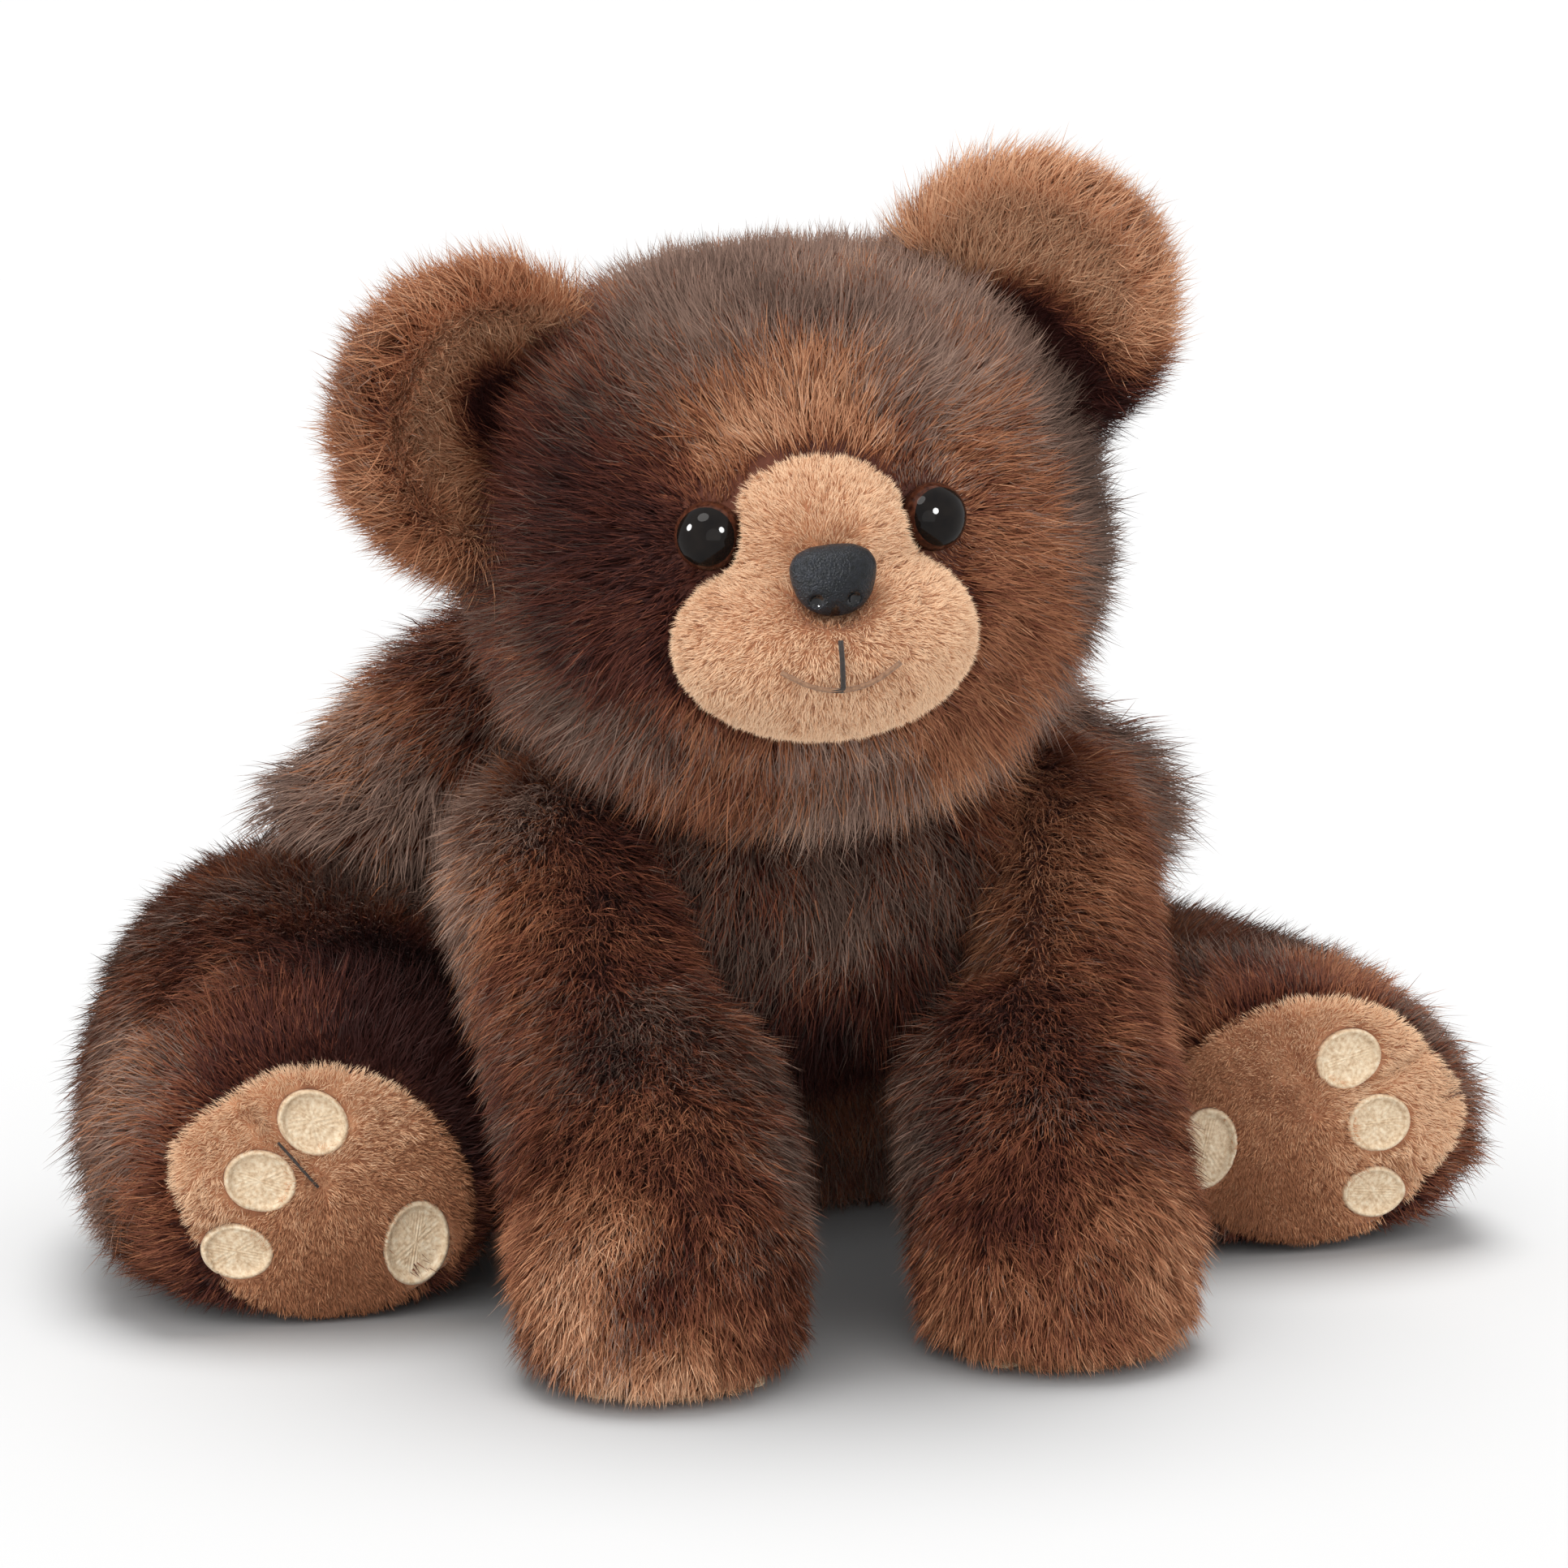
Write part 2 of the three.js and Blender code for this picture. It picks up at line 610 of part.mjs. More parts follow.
// A body's group, with its origin at its pivot.
function bodyGroup(pivot, side = "left") {
  const group = new THREE.Group();
  group.position.copy(pivot);
  if (side === "right") group.position.x *= -1;
  bear.add(group);
  return group;
}

function addJoint(limb, trunk, joint, name, toSide) {
  const put = (geometry) => toSide(solid(place(geometry, joint.at, joint.axis)));
  addMesh(limb, `${name}_stem_disc`, put(stemDisc(joint)), MATERIALS.joint);
  addMesh(limb, `${name}_lock_ring`, put(lockRing(joint)), MATERIALS.joint);
  addMesh(trunk, `${name}_washer`, put(washer(joint)), MATERIALS.joint);
}

function addTorso() {
  const trunk = bodyGroup(new THREE.Vector3());
  const { neck, shoulder, hip } = JOINTS;
  const holes = stemHole(neck).add(both(stemHole(shoulder))).add(both(stemHole(hip)));
  const rooms = washerRoom(neck).add(both(washerRoom(shoulder))).add(both(washerRoom(hip)));
  const underBag = { at: new THREE.Vector3(0, 0, WALL + GAP), axis: Z.clone().negate() };
  const bag = egg(PELLET_BAG, 0, 18, 10).subtract(beyond(underBag));
  const bagRoom = egg(PELLET_BAG, -2 * GAP, 18, 10);
  const skin = torso(0).subtract(torso(WALL)).subtract(holes);
  const filling = torso(STUFFING_INSET).subtract(rooms).subtract(bagRoom);
  addMesh(trunk, "torso_skin", skin, MATERIALS.fur);
  addMesh(trunk, "torso_stuffing", filling, MATERIALS.stuffing);
  addMesh(trunk, "pellet_bag", bag, MATERIALS.pellets);
  return trunk;
}

function addHead(trunk) {
  const { neck } = JOINTS;
  const group = bodyGroup(neck.at);
  const eyes = [eye(1), eye(-1)];
  const nose = noseParts();
  const eyeHoles = inHead(eyes[0].hole.add(eyes[1].hole));
  const eyeRooms = inHead(eyes[0].room.add(eyes[1].room));
  const skin = head(0).subtract(head(WALL)).subtract(stemHole(neck)).subtract(eyeHoles);
  const filling = head(STUFFING_INSET).subtract(discRoom(neck)).subtract(eyeRooms);
  addMesh(group, "head_skin", skin, MATERIALS.fur);
  addMesh(group, "head_stuffing", filling, MATERIALS.stuffing);
  addMesh(group, "muzzle", inHead(muzzle(nose, eyes)), MATERIALS.muzzle);
  addMesh(group, "nose", inHead(nose.button), MATERIALS.nose);
  addMesh(group, "nose_washer", inHead(nose.washer), MATERIALS.joint);
  addMesh(group, "mouth_thread", inHead(mouthThread(0)), MATERIALS.thread);
  SIDES.forEach((side, i) => {
    const { back, lining } = ear(side);
    addMesh(group, `${side}_ear_back`, inHead(back), MATERIALS.fur);
    addMesh(group, `${side}_ear_lining`, inHead(lining), MATERIALS.earLining);
    addMesh(group, `${side}_eye`, inHead(eyes[i].dome), MATERIALS.eye);
    addMesh(group, `${side}_eye_washer`, inHead(eyes[i].washer), MATERIALS.joint);
  });
  addJoint(group, trunk, neck, "neck", ON_SIDE.left);
}

function addArm(trunk, side) {
  const { shoulder } = JOINTS;
  const group = bodyGroup(shoulder.at, side);
  const toSide = ON_SIDE[side];
  const { pad, patches } = pawPad(side);
  const skin = arm(side, 0).subtract(arm(side, WALL)).subtract(stemHole(shoulder));
  const filling = arm(side, STUFFING_INSET).subtract(discRoom(shoulder));
  addMesh(group, `${side}_arm_skin`, toSide(skin), MATERIALS.fur);
  addMesh(group, `${side}_arm_stuffing`, toSide(filling), MATERIALS.stuffing);
  addMesh(group, `${side}_paw_pad`, toSide(pad), MATERIALS.pad);
  patches.forEach((patch, i) => {
    const name = i < PAW_TOES.length ? `paw_toe_patch_${i + 1}` : "palm_patch";
    addMesh(group, `${side}_${name}`, toSide(patch), MATERIALS.patch);
  });
  addJoint(group, trunk, shoulder, `${side}_shoulder`, toSide);
}

function addLeg(trunk, side) {
  const { hip } = JOINTS;
  const group = bodyGroup(hip.at, side);
  const toSide = ON_SIDE[side];
  const { pad, patches } = sole(side);
  const skin = leg(side, 0).subtract(leg(side, WALL)).subtract(stemHole(hip));
  const filling = leg(side, STUFFING_INSET).subtract(discRoom(hip));
  addMesh(group, `${side}_leg_skin`, toSide(skin), MATERIALS.fur);
  addMesh(group, `${side}_leg_stuffing`, toSide(filling), MATERIALS.stuffing);
  addMesh(group, `${side}_sole`, toSide(pad), MATERIALS.pad);
  patches.forEach((patch, i) => {
    const name = i < TOES.length ? `toe_patch_${i + 1}` : "heel_patch";
    addMesh(group, `${side}_${name}`, toSide(patch), MATERIALS.patch);
  });
  addJoint(group, trunk, hip, `${side}_hip`, toSide);
}

const trunk = addTorso();
addHead(trunk);
SIDES.forEach((side) => {
  addArm(trunk, side);
  addLeg(trunk, side);
});

// The origin is under the middle of the bear's box, on the floor.
const middle = new THREE.Box3().setFromObject(bear).getCenter(new THREE.Vector3());
bear.position.set(-middle.x, -middle.y, 0);

export default bear;
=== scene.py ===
"""The looks of a seated plush teddy bear with five disc joints: long tip-dyed pile, short tan plush on the
muzzle, soles and paw pads, embroidered toe marks, glossy eyes and a grained nose.

Shapes are worked out in millimetres, in the frame's own axes, and scaled to metres as each mesh is made."""

import json
import math

import bmesh
import bpy
import numpy as np
from mathutils import Matrix, Vector
from mathutils.bvhtree import BVHTree
from mathutils.kdtree import KDTree


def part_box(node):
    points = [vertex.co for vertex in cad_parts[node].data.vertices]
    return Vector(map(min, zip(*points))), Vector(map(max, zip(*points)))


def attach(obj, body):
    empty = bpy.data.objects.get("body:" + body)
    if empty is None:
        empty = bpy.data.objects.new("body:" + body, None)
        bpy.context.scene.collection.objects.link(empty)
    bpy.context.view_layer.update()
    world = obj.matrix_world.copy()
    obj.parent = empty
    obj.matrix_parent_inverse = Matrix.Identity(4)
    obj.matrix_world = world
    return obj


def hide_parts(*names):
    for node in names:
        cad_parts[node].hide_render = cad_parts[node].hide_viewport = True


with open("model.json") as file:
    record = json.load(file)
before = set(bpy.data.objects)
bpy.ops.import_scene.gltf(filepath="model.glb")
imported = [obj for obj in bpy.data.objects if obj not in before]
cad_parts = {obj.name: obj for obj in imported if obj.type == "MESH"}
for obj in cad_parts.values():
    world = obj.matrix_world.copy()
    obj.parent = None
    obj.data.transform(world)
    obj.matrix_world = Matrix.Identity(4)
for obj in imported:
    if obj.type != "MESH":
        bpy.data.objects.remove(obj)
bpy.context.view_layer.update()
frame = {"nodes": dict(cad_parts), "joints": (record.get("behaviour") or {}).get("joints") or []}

MM = 0.001
SIDES = ("left", "right")
BODIES = ("torso", "head", "left_arm", "right_arm", "left_leg", "right_leg")

# ---- The pile ----

PELT_DEPTH = 4.5  # the backing lies this far inside the solid, whose face is at the middle of the pile
PELT_THICK = 1.2
CLEAR_OF_HIP = 68.0  # the torso's edge over the legs is about this far from the hips' line
SKIRT = 12.0  # the backing rises to the solid's face over this distance from a fitting
PELT_VOXEL = 3.6
PELT_SWELL = 1.5  # how far the cloth simulation may push a backing out
PRESSURE = 4.0
CLOTH_STEPS = 20
WADDING_DEPTH = 4.8  # the stuffing's face lies this far inside its solid
STRANDS_PER_PIECE = 39000  # a piece of pile stays under 200,000 triangles
STRAND_STEPS = 3  # segments of a long strand
PLUSH_STEPS = 2  # and of a short one
FLOOR_CLEAR = 0.25
FLOOR_PILE = 1.2  # how deep the flattened pile under the bear is
LONGEST_REACH = 24.0  # how far from a backing other bodies are looked for
SWIRL_TURN = 1.5  # how far the comb wanders, in radians
SWIRL_SIZE = 26.0

# Length, width and angles of the strands on each body. The angles are from the surface, at the root and tip.
PILE = {
    "torso": dict(length=16.0, width=0.27, density=2.3, root_angle=64, tip_angle=20),
    "head": dict(length=14.5, width=0.24, density=4.0, root_angle=66, tip_angle=26),
    "arm": dict(length=12.5, width=0.25, density=3.5, root_angle=62, tip_angle=24),
    "leg": dict(length=13.0, width=0.26, density=3.0, root_angle=62, tip_angle=24),
    "ear": dict(length=14.0, width=0.23, density=4.8, root_angle=60, tip_angle=26),
}
CLUMP_SPACING = 3.2
CLUMP_PULL = 0.28  # how far the tips of a clump draw together
CLUMP_TURN = 0.20  # spreads of a clump's and a strand's own turn and lean, in radians
STRAND_TURN = 0.30
CLUMP_LEAN = math.radians(4)
STRAND_LEAN = math.radians(9)
EYE_RISE = 6.2  # height of an eye's dome

# Tones of the strands, as linear colours, from dark to light.
RUSSET = (
    (0.035, 0.008, 0.006),
    (0.095, 0.025, 0.015),
    (0.210, 0.068, 0.034),
    (0.370, 0.150, 0.073),
    (0.550, 0.272, 0.148),
    (0.730, 0.435, 0.265),
)
GREY = (
    (0.045, 0.027, 0.022),
    (0.125, 0.075, 0.056),
    (0.245, 0.153, 0.117),
    (0.385, 0.252, 0.191),
    (0.550, 0.385, 0.295),
)
TAN = (
    (0.330, 0.135, 0.065),
    (0.480, 0.215, 0.108),
    (0.630, 0.335, 0.182),
    (0.780, 0.475, 0.285),
    (0.900, 0.630, 0.415),
)

HEAD_YAW = math.radians(-6)
HEAD_ROLL = math.radians(4)
HEAD_TURN = np.array(Matrix.Rotation(HEAD_YAW, 3, "Z") @ Matrix.Rotation(-HEAD_ROLL, 3, "Y"))
FACE_FRONT = HEAD_TURN @ np.array((0.0, -1.0, 0.0))
FACE_LEFT = HEAD_TURN @ np.array((1.0, 0.0, 0.0))
FACE_UP = HEAD_TURN @ np.array((0.0, 0.0, 1.0))

JOINTS = {joint["name"]: np.array(joint["pos_m"]) / MM for joint in frame["joints"]}
NECK = JOINTS["neck_turn"]


# ---- Camera, light and floor ----

VIEW_AZIMUTH = -14  # in degrees, as all angles of the lights and the camera are
VIEW_ELEVATION = 10
VIEW_DISTANCE = 1.1
VIEW_TARGET = Vector(NECK + np.array((-4.0, -12.7, -19.0))) * MM
VIEW_WIDTH = 0.386  # what the frame spans at the target
SENSOR = 36.0
WARM = (1.0, 0.98, 0.95)
WARM_FILL = (1.0, 0.98, 0.96)
WORLD_LIGHT = 1.02
FLOOR_GREY = 0.52  # the room and the sun together bring this up to white
FLOOR_HALF = 4.0


def add_object(name, data):
    obj = bpy.data.objects.new(name, data)
    bpy.context.scene.collection.objects.link(obj)
    return obj


def add_aimed(name, data, azimuth, elevation, distance):
    """A camera or light that looks at the target from that far away. Its angles are in degrees."""
    turn, rise = math.radians(azimuth), math.radians(elevation)
    flat = math.cos(rise)
    back = Vector((math.sin(turn) * flat, -math.cos(turn) * flat, math.sin(rise)))
    obj = add_object(name, data)
    obj.location = VIEW_TARGET + distance * back
    obj.rotation_euler = back.to_track_quat("Z", "Y").to_euler()
    return obj


def add_camera():
    data = bpy.data.cameras.new("camera")
    data.sensor_width = SENSOR
    data.lens = SENSOR * VIEW_DISTANCE / VIEW_WIDTH
    camera = add_aimed("camera", data, VIEW_AZIMUTH, VIEW_ELEVATION, VIEW_DISTANCE)
    bpy.context.scene.camera = camera


def add_light(name, azimuth, elevation, distance, size, power, color=(1.0, 1.0, 1.0)):
    data = bpy.data.lights.new(name, "AREA")
    data.shape = "DISK"
    data.size = size
    data.energy = power
    data.color = color
    return add_aimed(name, data, azimuth, elevation, distance)


def link_light(light, objects, state):
    """Makes a light shine only on these objects (INCLUDE) or on all but them (EXCLUDE)."""
    receivers = bpy.data.collections.new(f"{light.name}_receivers")
    for obj in objects:
        receivers.objects.link(obj)
    light.light_linking.receiver_collection = receivers
    for entry in receivers.collection_objects:
        entry.light_linking.link_state = state


def add_floor_sun():
    """Light from above and behind that deepens the bear's shadow on the floor."""
    data = bpy.data.lights.new("floor_sun", "SUN")
    data.angle = math.radians(35)
    data.energy = 3.15
    return add_aimed("floor_sun", data, azimuth=172, elevation=73, distance=1.5)


def add_studio(floor):
    """A white room, a key, a fill and a rim for the bear alone, and a sun for the floor alone."""
    key = add_light("key", azimuth=-50, elevation=55, distance=1.5, size=0.7, power=9, color=WARM)
    fill = add_light("fill", azimuth=-10, elevation=6, distance=1.7, size=1.2, power=3.5, color=WARM_FILL)
    rim = add_light("rim", azimuth=165, elevation=55, distance=1.4, size=0.8, power=3)
    for light in (key, fill, rim):
        link_light(light, [floor], "EXCLUDE")
    link_light(add_floor_sun(), [floor], "INCLUDE")
    world = bpy.data.worlds.new("studio")
    world.use_nodes = True
    background = world.node_tree.nodes["Background"]
    background.inputs["Color"].default_value = (1.0, 1.0, 1.0, 1.0)
    background.inputs["Strength"].default_value = WORLD_LIGHT
    bpy.context.scene.world = world
    bpy.context.scene.view_settings.view_transform = "Standard"


def add_catch_lights(eyes, nose):
    """Small soft boxes that only the eyes mirror, and the nose one of them."""
    left = add_light("catch_left", azimuth=-78, elevation=24, distance=0.8, size=0.2, power=9)
    right = add_light("catch_right", azimuth=12, elevation=24, distance=0.8, size=0.2, power=9)
    link_light(left, eyes + [nose], "INCLUDE")
    link_light(right, eyes, "INCLUDE")


def add_floor():
    mesh = bpy.data.meshes.new("floor")
    half = FLOOR_HALF
    corners = [(-half, -half, 0), (half, -half, 0), (half, half, 0), (-half, half, 0)]
    mesh.from_pydata(corners, [], [(0, 1, 2, 3)])
    floor = add_object("floor", mesh)
    mesh.materials.append(plain("floor_paper", (FLOOR_GREY,) * 3, 0.95, Specular_IOR_Level=0.0))
    return floor


# ---- Materials ----

CLOUDS = "ShaderNodeTexNoise"
CELLS = "ShaderNodeTexVoronoi"


def plain(name, color, roughness, **sockets):
    """A material whose values are the same all over. The other sockets are named with _ for a space."""
    material = bpy.data.materials.new(name)
    material.use_nodes = True
    shader = material.node_tree.nodes["Principled BSDF"]
    shader.inputs["Base Color"].default_value = (*color, 1.0)
    shader.inputs["Roughness"].default_value = roughness
    for socket, value in sockets.items():
        shader.inputs[socket.replace("_", " ")].default_value = value
    return material


def shader_of(material):
    return material.node_tree.nodes["Principled BSDF"]


def add_noise(material, scale, detail=4.0, stretch=(1, 1, 1), kind=CLOUDS):
    """A texture in the object's own metres, so that scale is in features per metre."""
    nodes, links = material.node_tree.nodes, material.node_tree.links
    place = nodes.new("ShaderNodeTexCoord")
    mapping = nodes.new("ShaderNodeMapping")
    mapping.inputs["Scale"].default_value = stretch
    texture = nodes.new(kind)
    texture.inputs["Scale"].default_value = scale
    if "Detail" in texture.inputs:
        texture.inputs["Detail"].default_value = detail
    links.new(place.outputs["Object"], mapping.inputs["Vector"])
    links.new(mapping.outputs["Vector"], texture.inputs["Vector"])
    return texture


def mottle(material, colors, scale, detail=4.0, stretch=(1, 1, 1)):
    """Base colour from noise through a ramp of these linear colours. Most of the noise is from 0.3 to 0.7."""
    nodes, links = material.node_tree.nodes, material.node_tree.links
    texture = add_noise(material, scale, detail, stretch)
    ramp = nodes.new("ShaderNodeValToRGB")
    stops = ramp.color_ramp.elements
    while len(stops) < len(colors):
        stops.new(0.5)
    for i, color in enumerate(colors):
        stops[i].position = 0.3 + (0.7 - 0.3) * i / (len(colors) - 1)
        stops[i].color = (*color, 1.0)
    links.new(texture.outputs[0], ramp.inputs["Fac"])
    links.new(ramp.outputs["Color"], shader_of(material).inputs["Base Color"])


def emboss(material, scale, depth, stretch=(1, 1, 1), kind=CLOUDS):
    """Bumps of that depth in metres."""
    nodes, links = material.node_tree.nodes, material.node_tree.links
    texture = add_noise(material, scale, 3.0, stretch, kind)
    bump = nodes.new("ShaderNodeBump")
    bump.inputs["Distance"].default_value = depth
    links.new(texture.outputs[0], bump.inputs["Height"])
    links.new(bump.outputs["Normal"], shader_of(material).inputs["Normal"])


def textured(
    name, color, roughness, shades, grain, detail, bumps=None, kind=CLOUDS, stretch=(1, 1), **sockets
):
    """A plain material mottled in these shades, with bumps where their scale and depth in metres are given.

    The two numbers of stretch squeeze the mottle and the bumps along the height."""
    material = plain(name, color, roughness, **sockets)
    mottle(material, shades, grain, detail, (1, 1, stretch[0]))
    if bumps:
        emboss(material, *bumps, (1, 1, stretch[1]), kind)
    return material


def strand_tones(name, colors, roughness, sheen):
    """One material for each tone of a pile. Each strand has its own, so the colour varies between strands."""
    tones = []
    for i, color in enumerate(colors):
        tint = (*(min(1.0, 0.35 + 1.2 * c) for c in color), 1.0)
        gloss = dict(Sheen_Weight=sheen, Sheen_Roughness=0.4, Sheen_Tint=tint, Specular_IOR_Level=0.18)
        tones.append(plain(f"{name}_{i + 1}", color, roughness, **gloss))
    return tones


# ---- Mesh helpers ----


def build_mesh(name, verts, faces):
    """A smooth object of these points, in millimetres, with its faces turned outwards."""
    mesh = bpy.data.meshes.new(name)
    mesh.from_pydata([tuple(vert * MM) for vert in verts], [], faces)
    work = bmesh.new()
    work.from_mesh(mesh)
    bmesh.ops.recalc_face_normals(work, faces=work.faces)
    work.to_mesh(mesh)
    work.free()
    obj = add_object(name, mesh)
    shade_smooth(obj)
    return obj


def copy_nodes(name, nodes):
    """One mesh that holds copies of these CAD nodes."""
    work = bmesh.new()
    for node in nodes:
        work.from_mesh(frame["nodes"][node].data)
    bmesh.ops.remove_doubles(work, verts=work.verts, dist=1e-6)
    mesh = bpy.data.meshes.new(name)
    work.to_mesh(mesh)
    work.free()
    return add_object(name, mesh)


def apply_modifiers(obj):
    graph = bpy.context.evaluated_depsgraph_get()
    mesh = bpy.data.meshes.new_from_object(obj.evaluated_get(graph))
    old = obj.data
    obj.modifiers.clear()
    obj.data = mesh
    bpy.data.meshes.remove(old)


def keep_largest_shell(obj):
    """Drops the shells that a remesh leaves inside."""
    work = bmesh.new()
    work.from_mesh(obj.data)
    left = set(work.verts)
    shells = []
    while left:
        shell = []
        stack = [left.pop()]
        while stack:
            vert = stack.pop()
            shell.append(vert)
            for edge in vert.link_edges:
                other = edge.other_vert(vert)
                if other in left:
                    left.discard(other)
                    stack.append(other)
        shells.append(shell)
    shells.sort(key=len, reverse=True)
    for shell in shells[1:]:
        bmesh.ops.delete(work, geom=shell, context="VERTS")
    work.to_mesh(obj.data)
    work.free()


def remesh(obj, voxel):
    modifier = obj.modifiers.new("remesh", "REMESH")
    modifier.mode = "VOXEL"
    modifier.voxel_size = voxel * MM
    apply_modifiers(obj)
    keep_largest_shell(obj)


def read_vertices(obj, what):
    flat = np.empty(len(obj.data.vertices) * 3, np.float32)
    obj.data.vertices.foreach_get(what, flat)
    return flat.reshape(-1, 3).astype(float)


def points_of(obj):
    return read_vertices(obj, "co") / MM


def normals_of(obj):
    return read_vertices(obj, "normal")


def triangles_of(obj):
    obj.data.calc_loop_triangles()
    flat = np.empty(len(obj.data.loop_triangles) * 3, np.int32)
    obj.data.loop_triangles.foreach_get("vertices", flat)
    return flat.reshape(-1, 3)


def set_points(obj, points):
    obj.data.vertices.foreach_set("co", (points * MM).astype(np.float32).ravel())
    obj.data.update()


def relax(obj, rounds):
    """Moves each point half the way to the mean of its neighbours, that many times."""
    edges = np.empty(len(obj.data.edges) * 2, np.int32)
    obj.data.edges.foreach_get("vertices", edges)
    one, other = edges.reshape(-1, 2).T
    points = points_of(obj)
    ends, far_ends = np.concatenate((one, other)), np.concatenate((other, one))
    degree = np.maximum(np.bincount(ends, minlength=len(points)), 1)[:, None]
    for _ in range(rounds):
        total = np.stack([np.bincount(ends, points[far_ends, k], len(points)) for k in range(3)], 1)
        points += 0.5 * (total / degree - points)
    set_points(obj, points)


def swell(obj, cap):
    """Lets air pressure round a sewn piece out, with no point moving further than cap."""
    before = points_of(obj)
    modifier = obj.modifiers.new("cloth", "CLOTH")
    settings = modifier.settings
    settings.use_pressure = True
    settings.uniform_pressure_force = PRESSURE
    settings.effector_weights.gravity = 0
    settings.quality = 4
    scene = bpy.context.scene
    for step in range(1, CLOTH_STEPS + 1):
        scene.frame_set(step)
    apply_modifiers(obj)
    scene.frame_set(1)
    moved = points_of(obj) - before
    distance = np.linalg.norm(moved, axis=1, keepdims=True)
    set_points(obj, before + moved * np.minimum(1, cap / np.maximum(distance, 1e-6)))


def soft_copy(name, nodes, voxel, rounds):
    """One even mesh round these CAD nodes, with its edges rounded off."""
    obj = copy_nodes(name, nodes)
    remesh(obj, voxel)
    relax(obj, rounds)
    return obj


def shade_smooth(obj):
    obj.data.polygons.foreach_set("use_smooth", np.ones(len(obj.data.polygons), bool))
    obj.data.update()


def tree_of(obj):
    """A search tree over an object's triangles, in millimetres."""
    return BVHTree.FromPolygons([tuple(p) for p in points_of(obj)], triangles_of(obj).tolist())


def tree_of_nodes(nodes):
    obj = copy_nodes("search", nodes)
    tree = tree_of(obj)
    bpy.data.meshes.remove(obj.data)
    return tree


def distances(tree, points):
    found = [tree.find_nearest(Vector(p))[3] for p in points]
    return np.array(found)


def ramp(values, low, high):
    t = np.clip((values - low) / (high - low), 0, 1)
    return t * t * (3 - 2 * t)


def unit(vectors):
    return vectors / np.maximum(np.linalg.norm(vectors, axis=-1, keepdims=True), 1e-9)


def lengths(vectors):
    return np.linalg.norm(vectors, axis=1)


def square_to(vectors, axis):
    """The part of each vector that is square to one axis."""
    return vectors - axis * (vectors @ axis)[:, None]


def in_plane(vectors, normals):
    """Directions along a surface, from vectors and the surface's own normals."""
    return unit(vectors - normals * (vectors * normals).sum(1, keepdims=True))


def frame_of(node):
    """A node's middle, its three axes from the longest to the shortest, and its half size along each."""
    points = points_of(frame["nodes"][node])
    points = np.unique(np.round(points, 3), axis=0)
    middle = (points.min(0) + points.max(0)) / 2
    spread = np.linalg.eigh(np.cov((points - points.mean(0)).T))[1]
    axes = spread[:, ::-1].T
    along = (points - middle) @ axes.T
    middle = middle + ((along.min(0) + along.max(0)) / 2) @ axes
    half = (along.max(0) - along.min(0)) / 2
    return middle, axes, half


def middle_of(node):
    low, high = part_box(node)
    return np.array((low + high) / 2) / MM


def finish_piece(obj, body, nodes=(), materials=()):
    """Puts a piece on its body, with its finish and the nodes that it stands for."""
    for material in materials:
        obj.data.materials.append(material)
    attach(obj, body)
    if nodes:
        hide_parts(*nodes)


# ---- Noise ----


class Noise:
    """Smooth random values from 0 to 1 over space, the same on each run."""

    SIZE = 32

    def __init__(self, seed):
        self.lattice = np.random.default_rng(seed).random((self.SIZE,) * 3)

    def sample(self, points, scale):
        """scale is the distance in millimetres from one random value to the next."""
        place = points / scale + 1000.0
        cell = np.floor(place).astype(int)
        t = place - cell
        t = t * t * (3 - 2 * t)
        total = np.zeros(len(points))
        for corner in np.ndindex(2, 2, 2):
            index = (cell + corner) % self.SIZE
            weight = np.prod(np.where(corner, t, 1 - t), axis=1)
            total += weight * self.lattice[index[:, 0], index[:, 1], index[:, 2]]
        return total

    def layered(self, points, scale):
        return 0.62 * self.sample(points, scale) + 0.38 * self.sample(points + 37.0, scale / 2.3)


# ---- Strands ----


def scatter(rng, skin, density):
    """Random roots on a skin's triangles: density is strands per square millimetre at each point."""
    corners = skin["points"][skin["triangles"]]
    cross = np.cross(corners[:, 1] - corners[:, 0], corners[:, 2] - corners[:, 0])
    area = lengths(cross) / 2
    wanted = area * density[skin["triangles"]].mean(1)
    count = np.floor(wanted + rng.random(len(wanted))).astype(int)
    face = np.repeat(np.arange(len(count)), count)
    u, v = rng.random((2, len(face)))
    over = u + v > 1
    u[over], v[over] = 1 - u[over], 1 - v[over]
    weights = np.stack((1 - u - v, u, v), 1)
    return face, weights


def at_roots(field, skin, face, weights):
    """A field given at the skin's points, read at the roots."""
    values = field[skin["triangles"][face]]
    if values.ndim == 3:
        return (values * weights[:, :, None]).sum(1)
    return (values * weights).sum(1)


def turn_in_plane(direction, normal, angle):
    """Turns tangent directions about the normal."""
    side = np.cross(normal, direction)
    return direction * np.cos(angle)[:, None] + side * np.sin(angle)[:, None]


def clump_of(rng, roots, count):
    """Each root's nearest clump, out of count clumps that start at random roots."""
    chosen = rng.choice(len(roots), count, replace=False)
    tree = KDTree(count)
    for i, index in enumerate(chosen):
        tree.insert(roots[index], i)
    tree.balance()
    group = np.array([tree.find(root)[1] for root in roots])
    return group, roots[chosen]


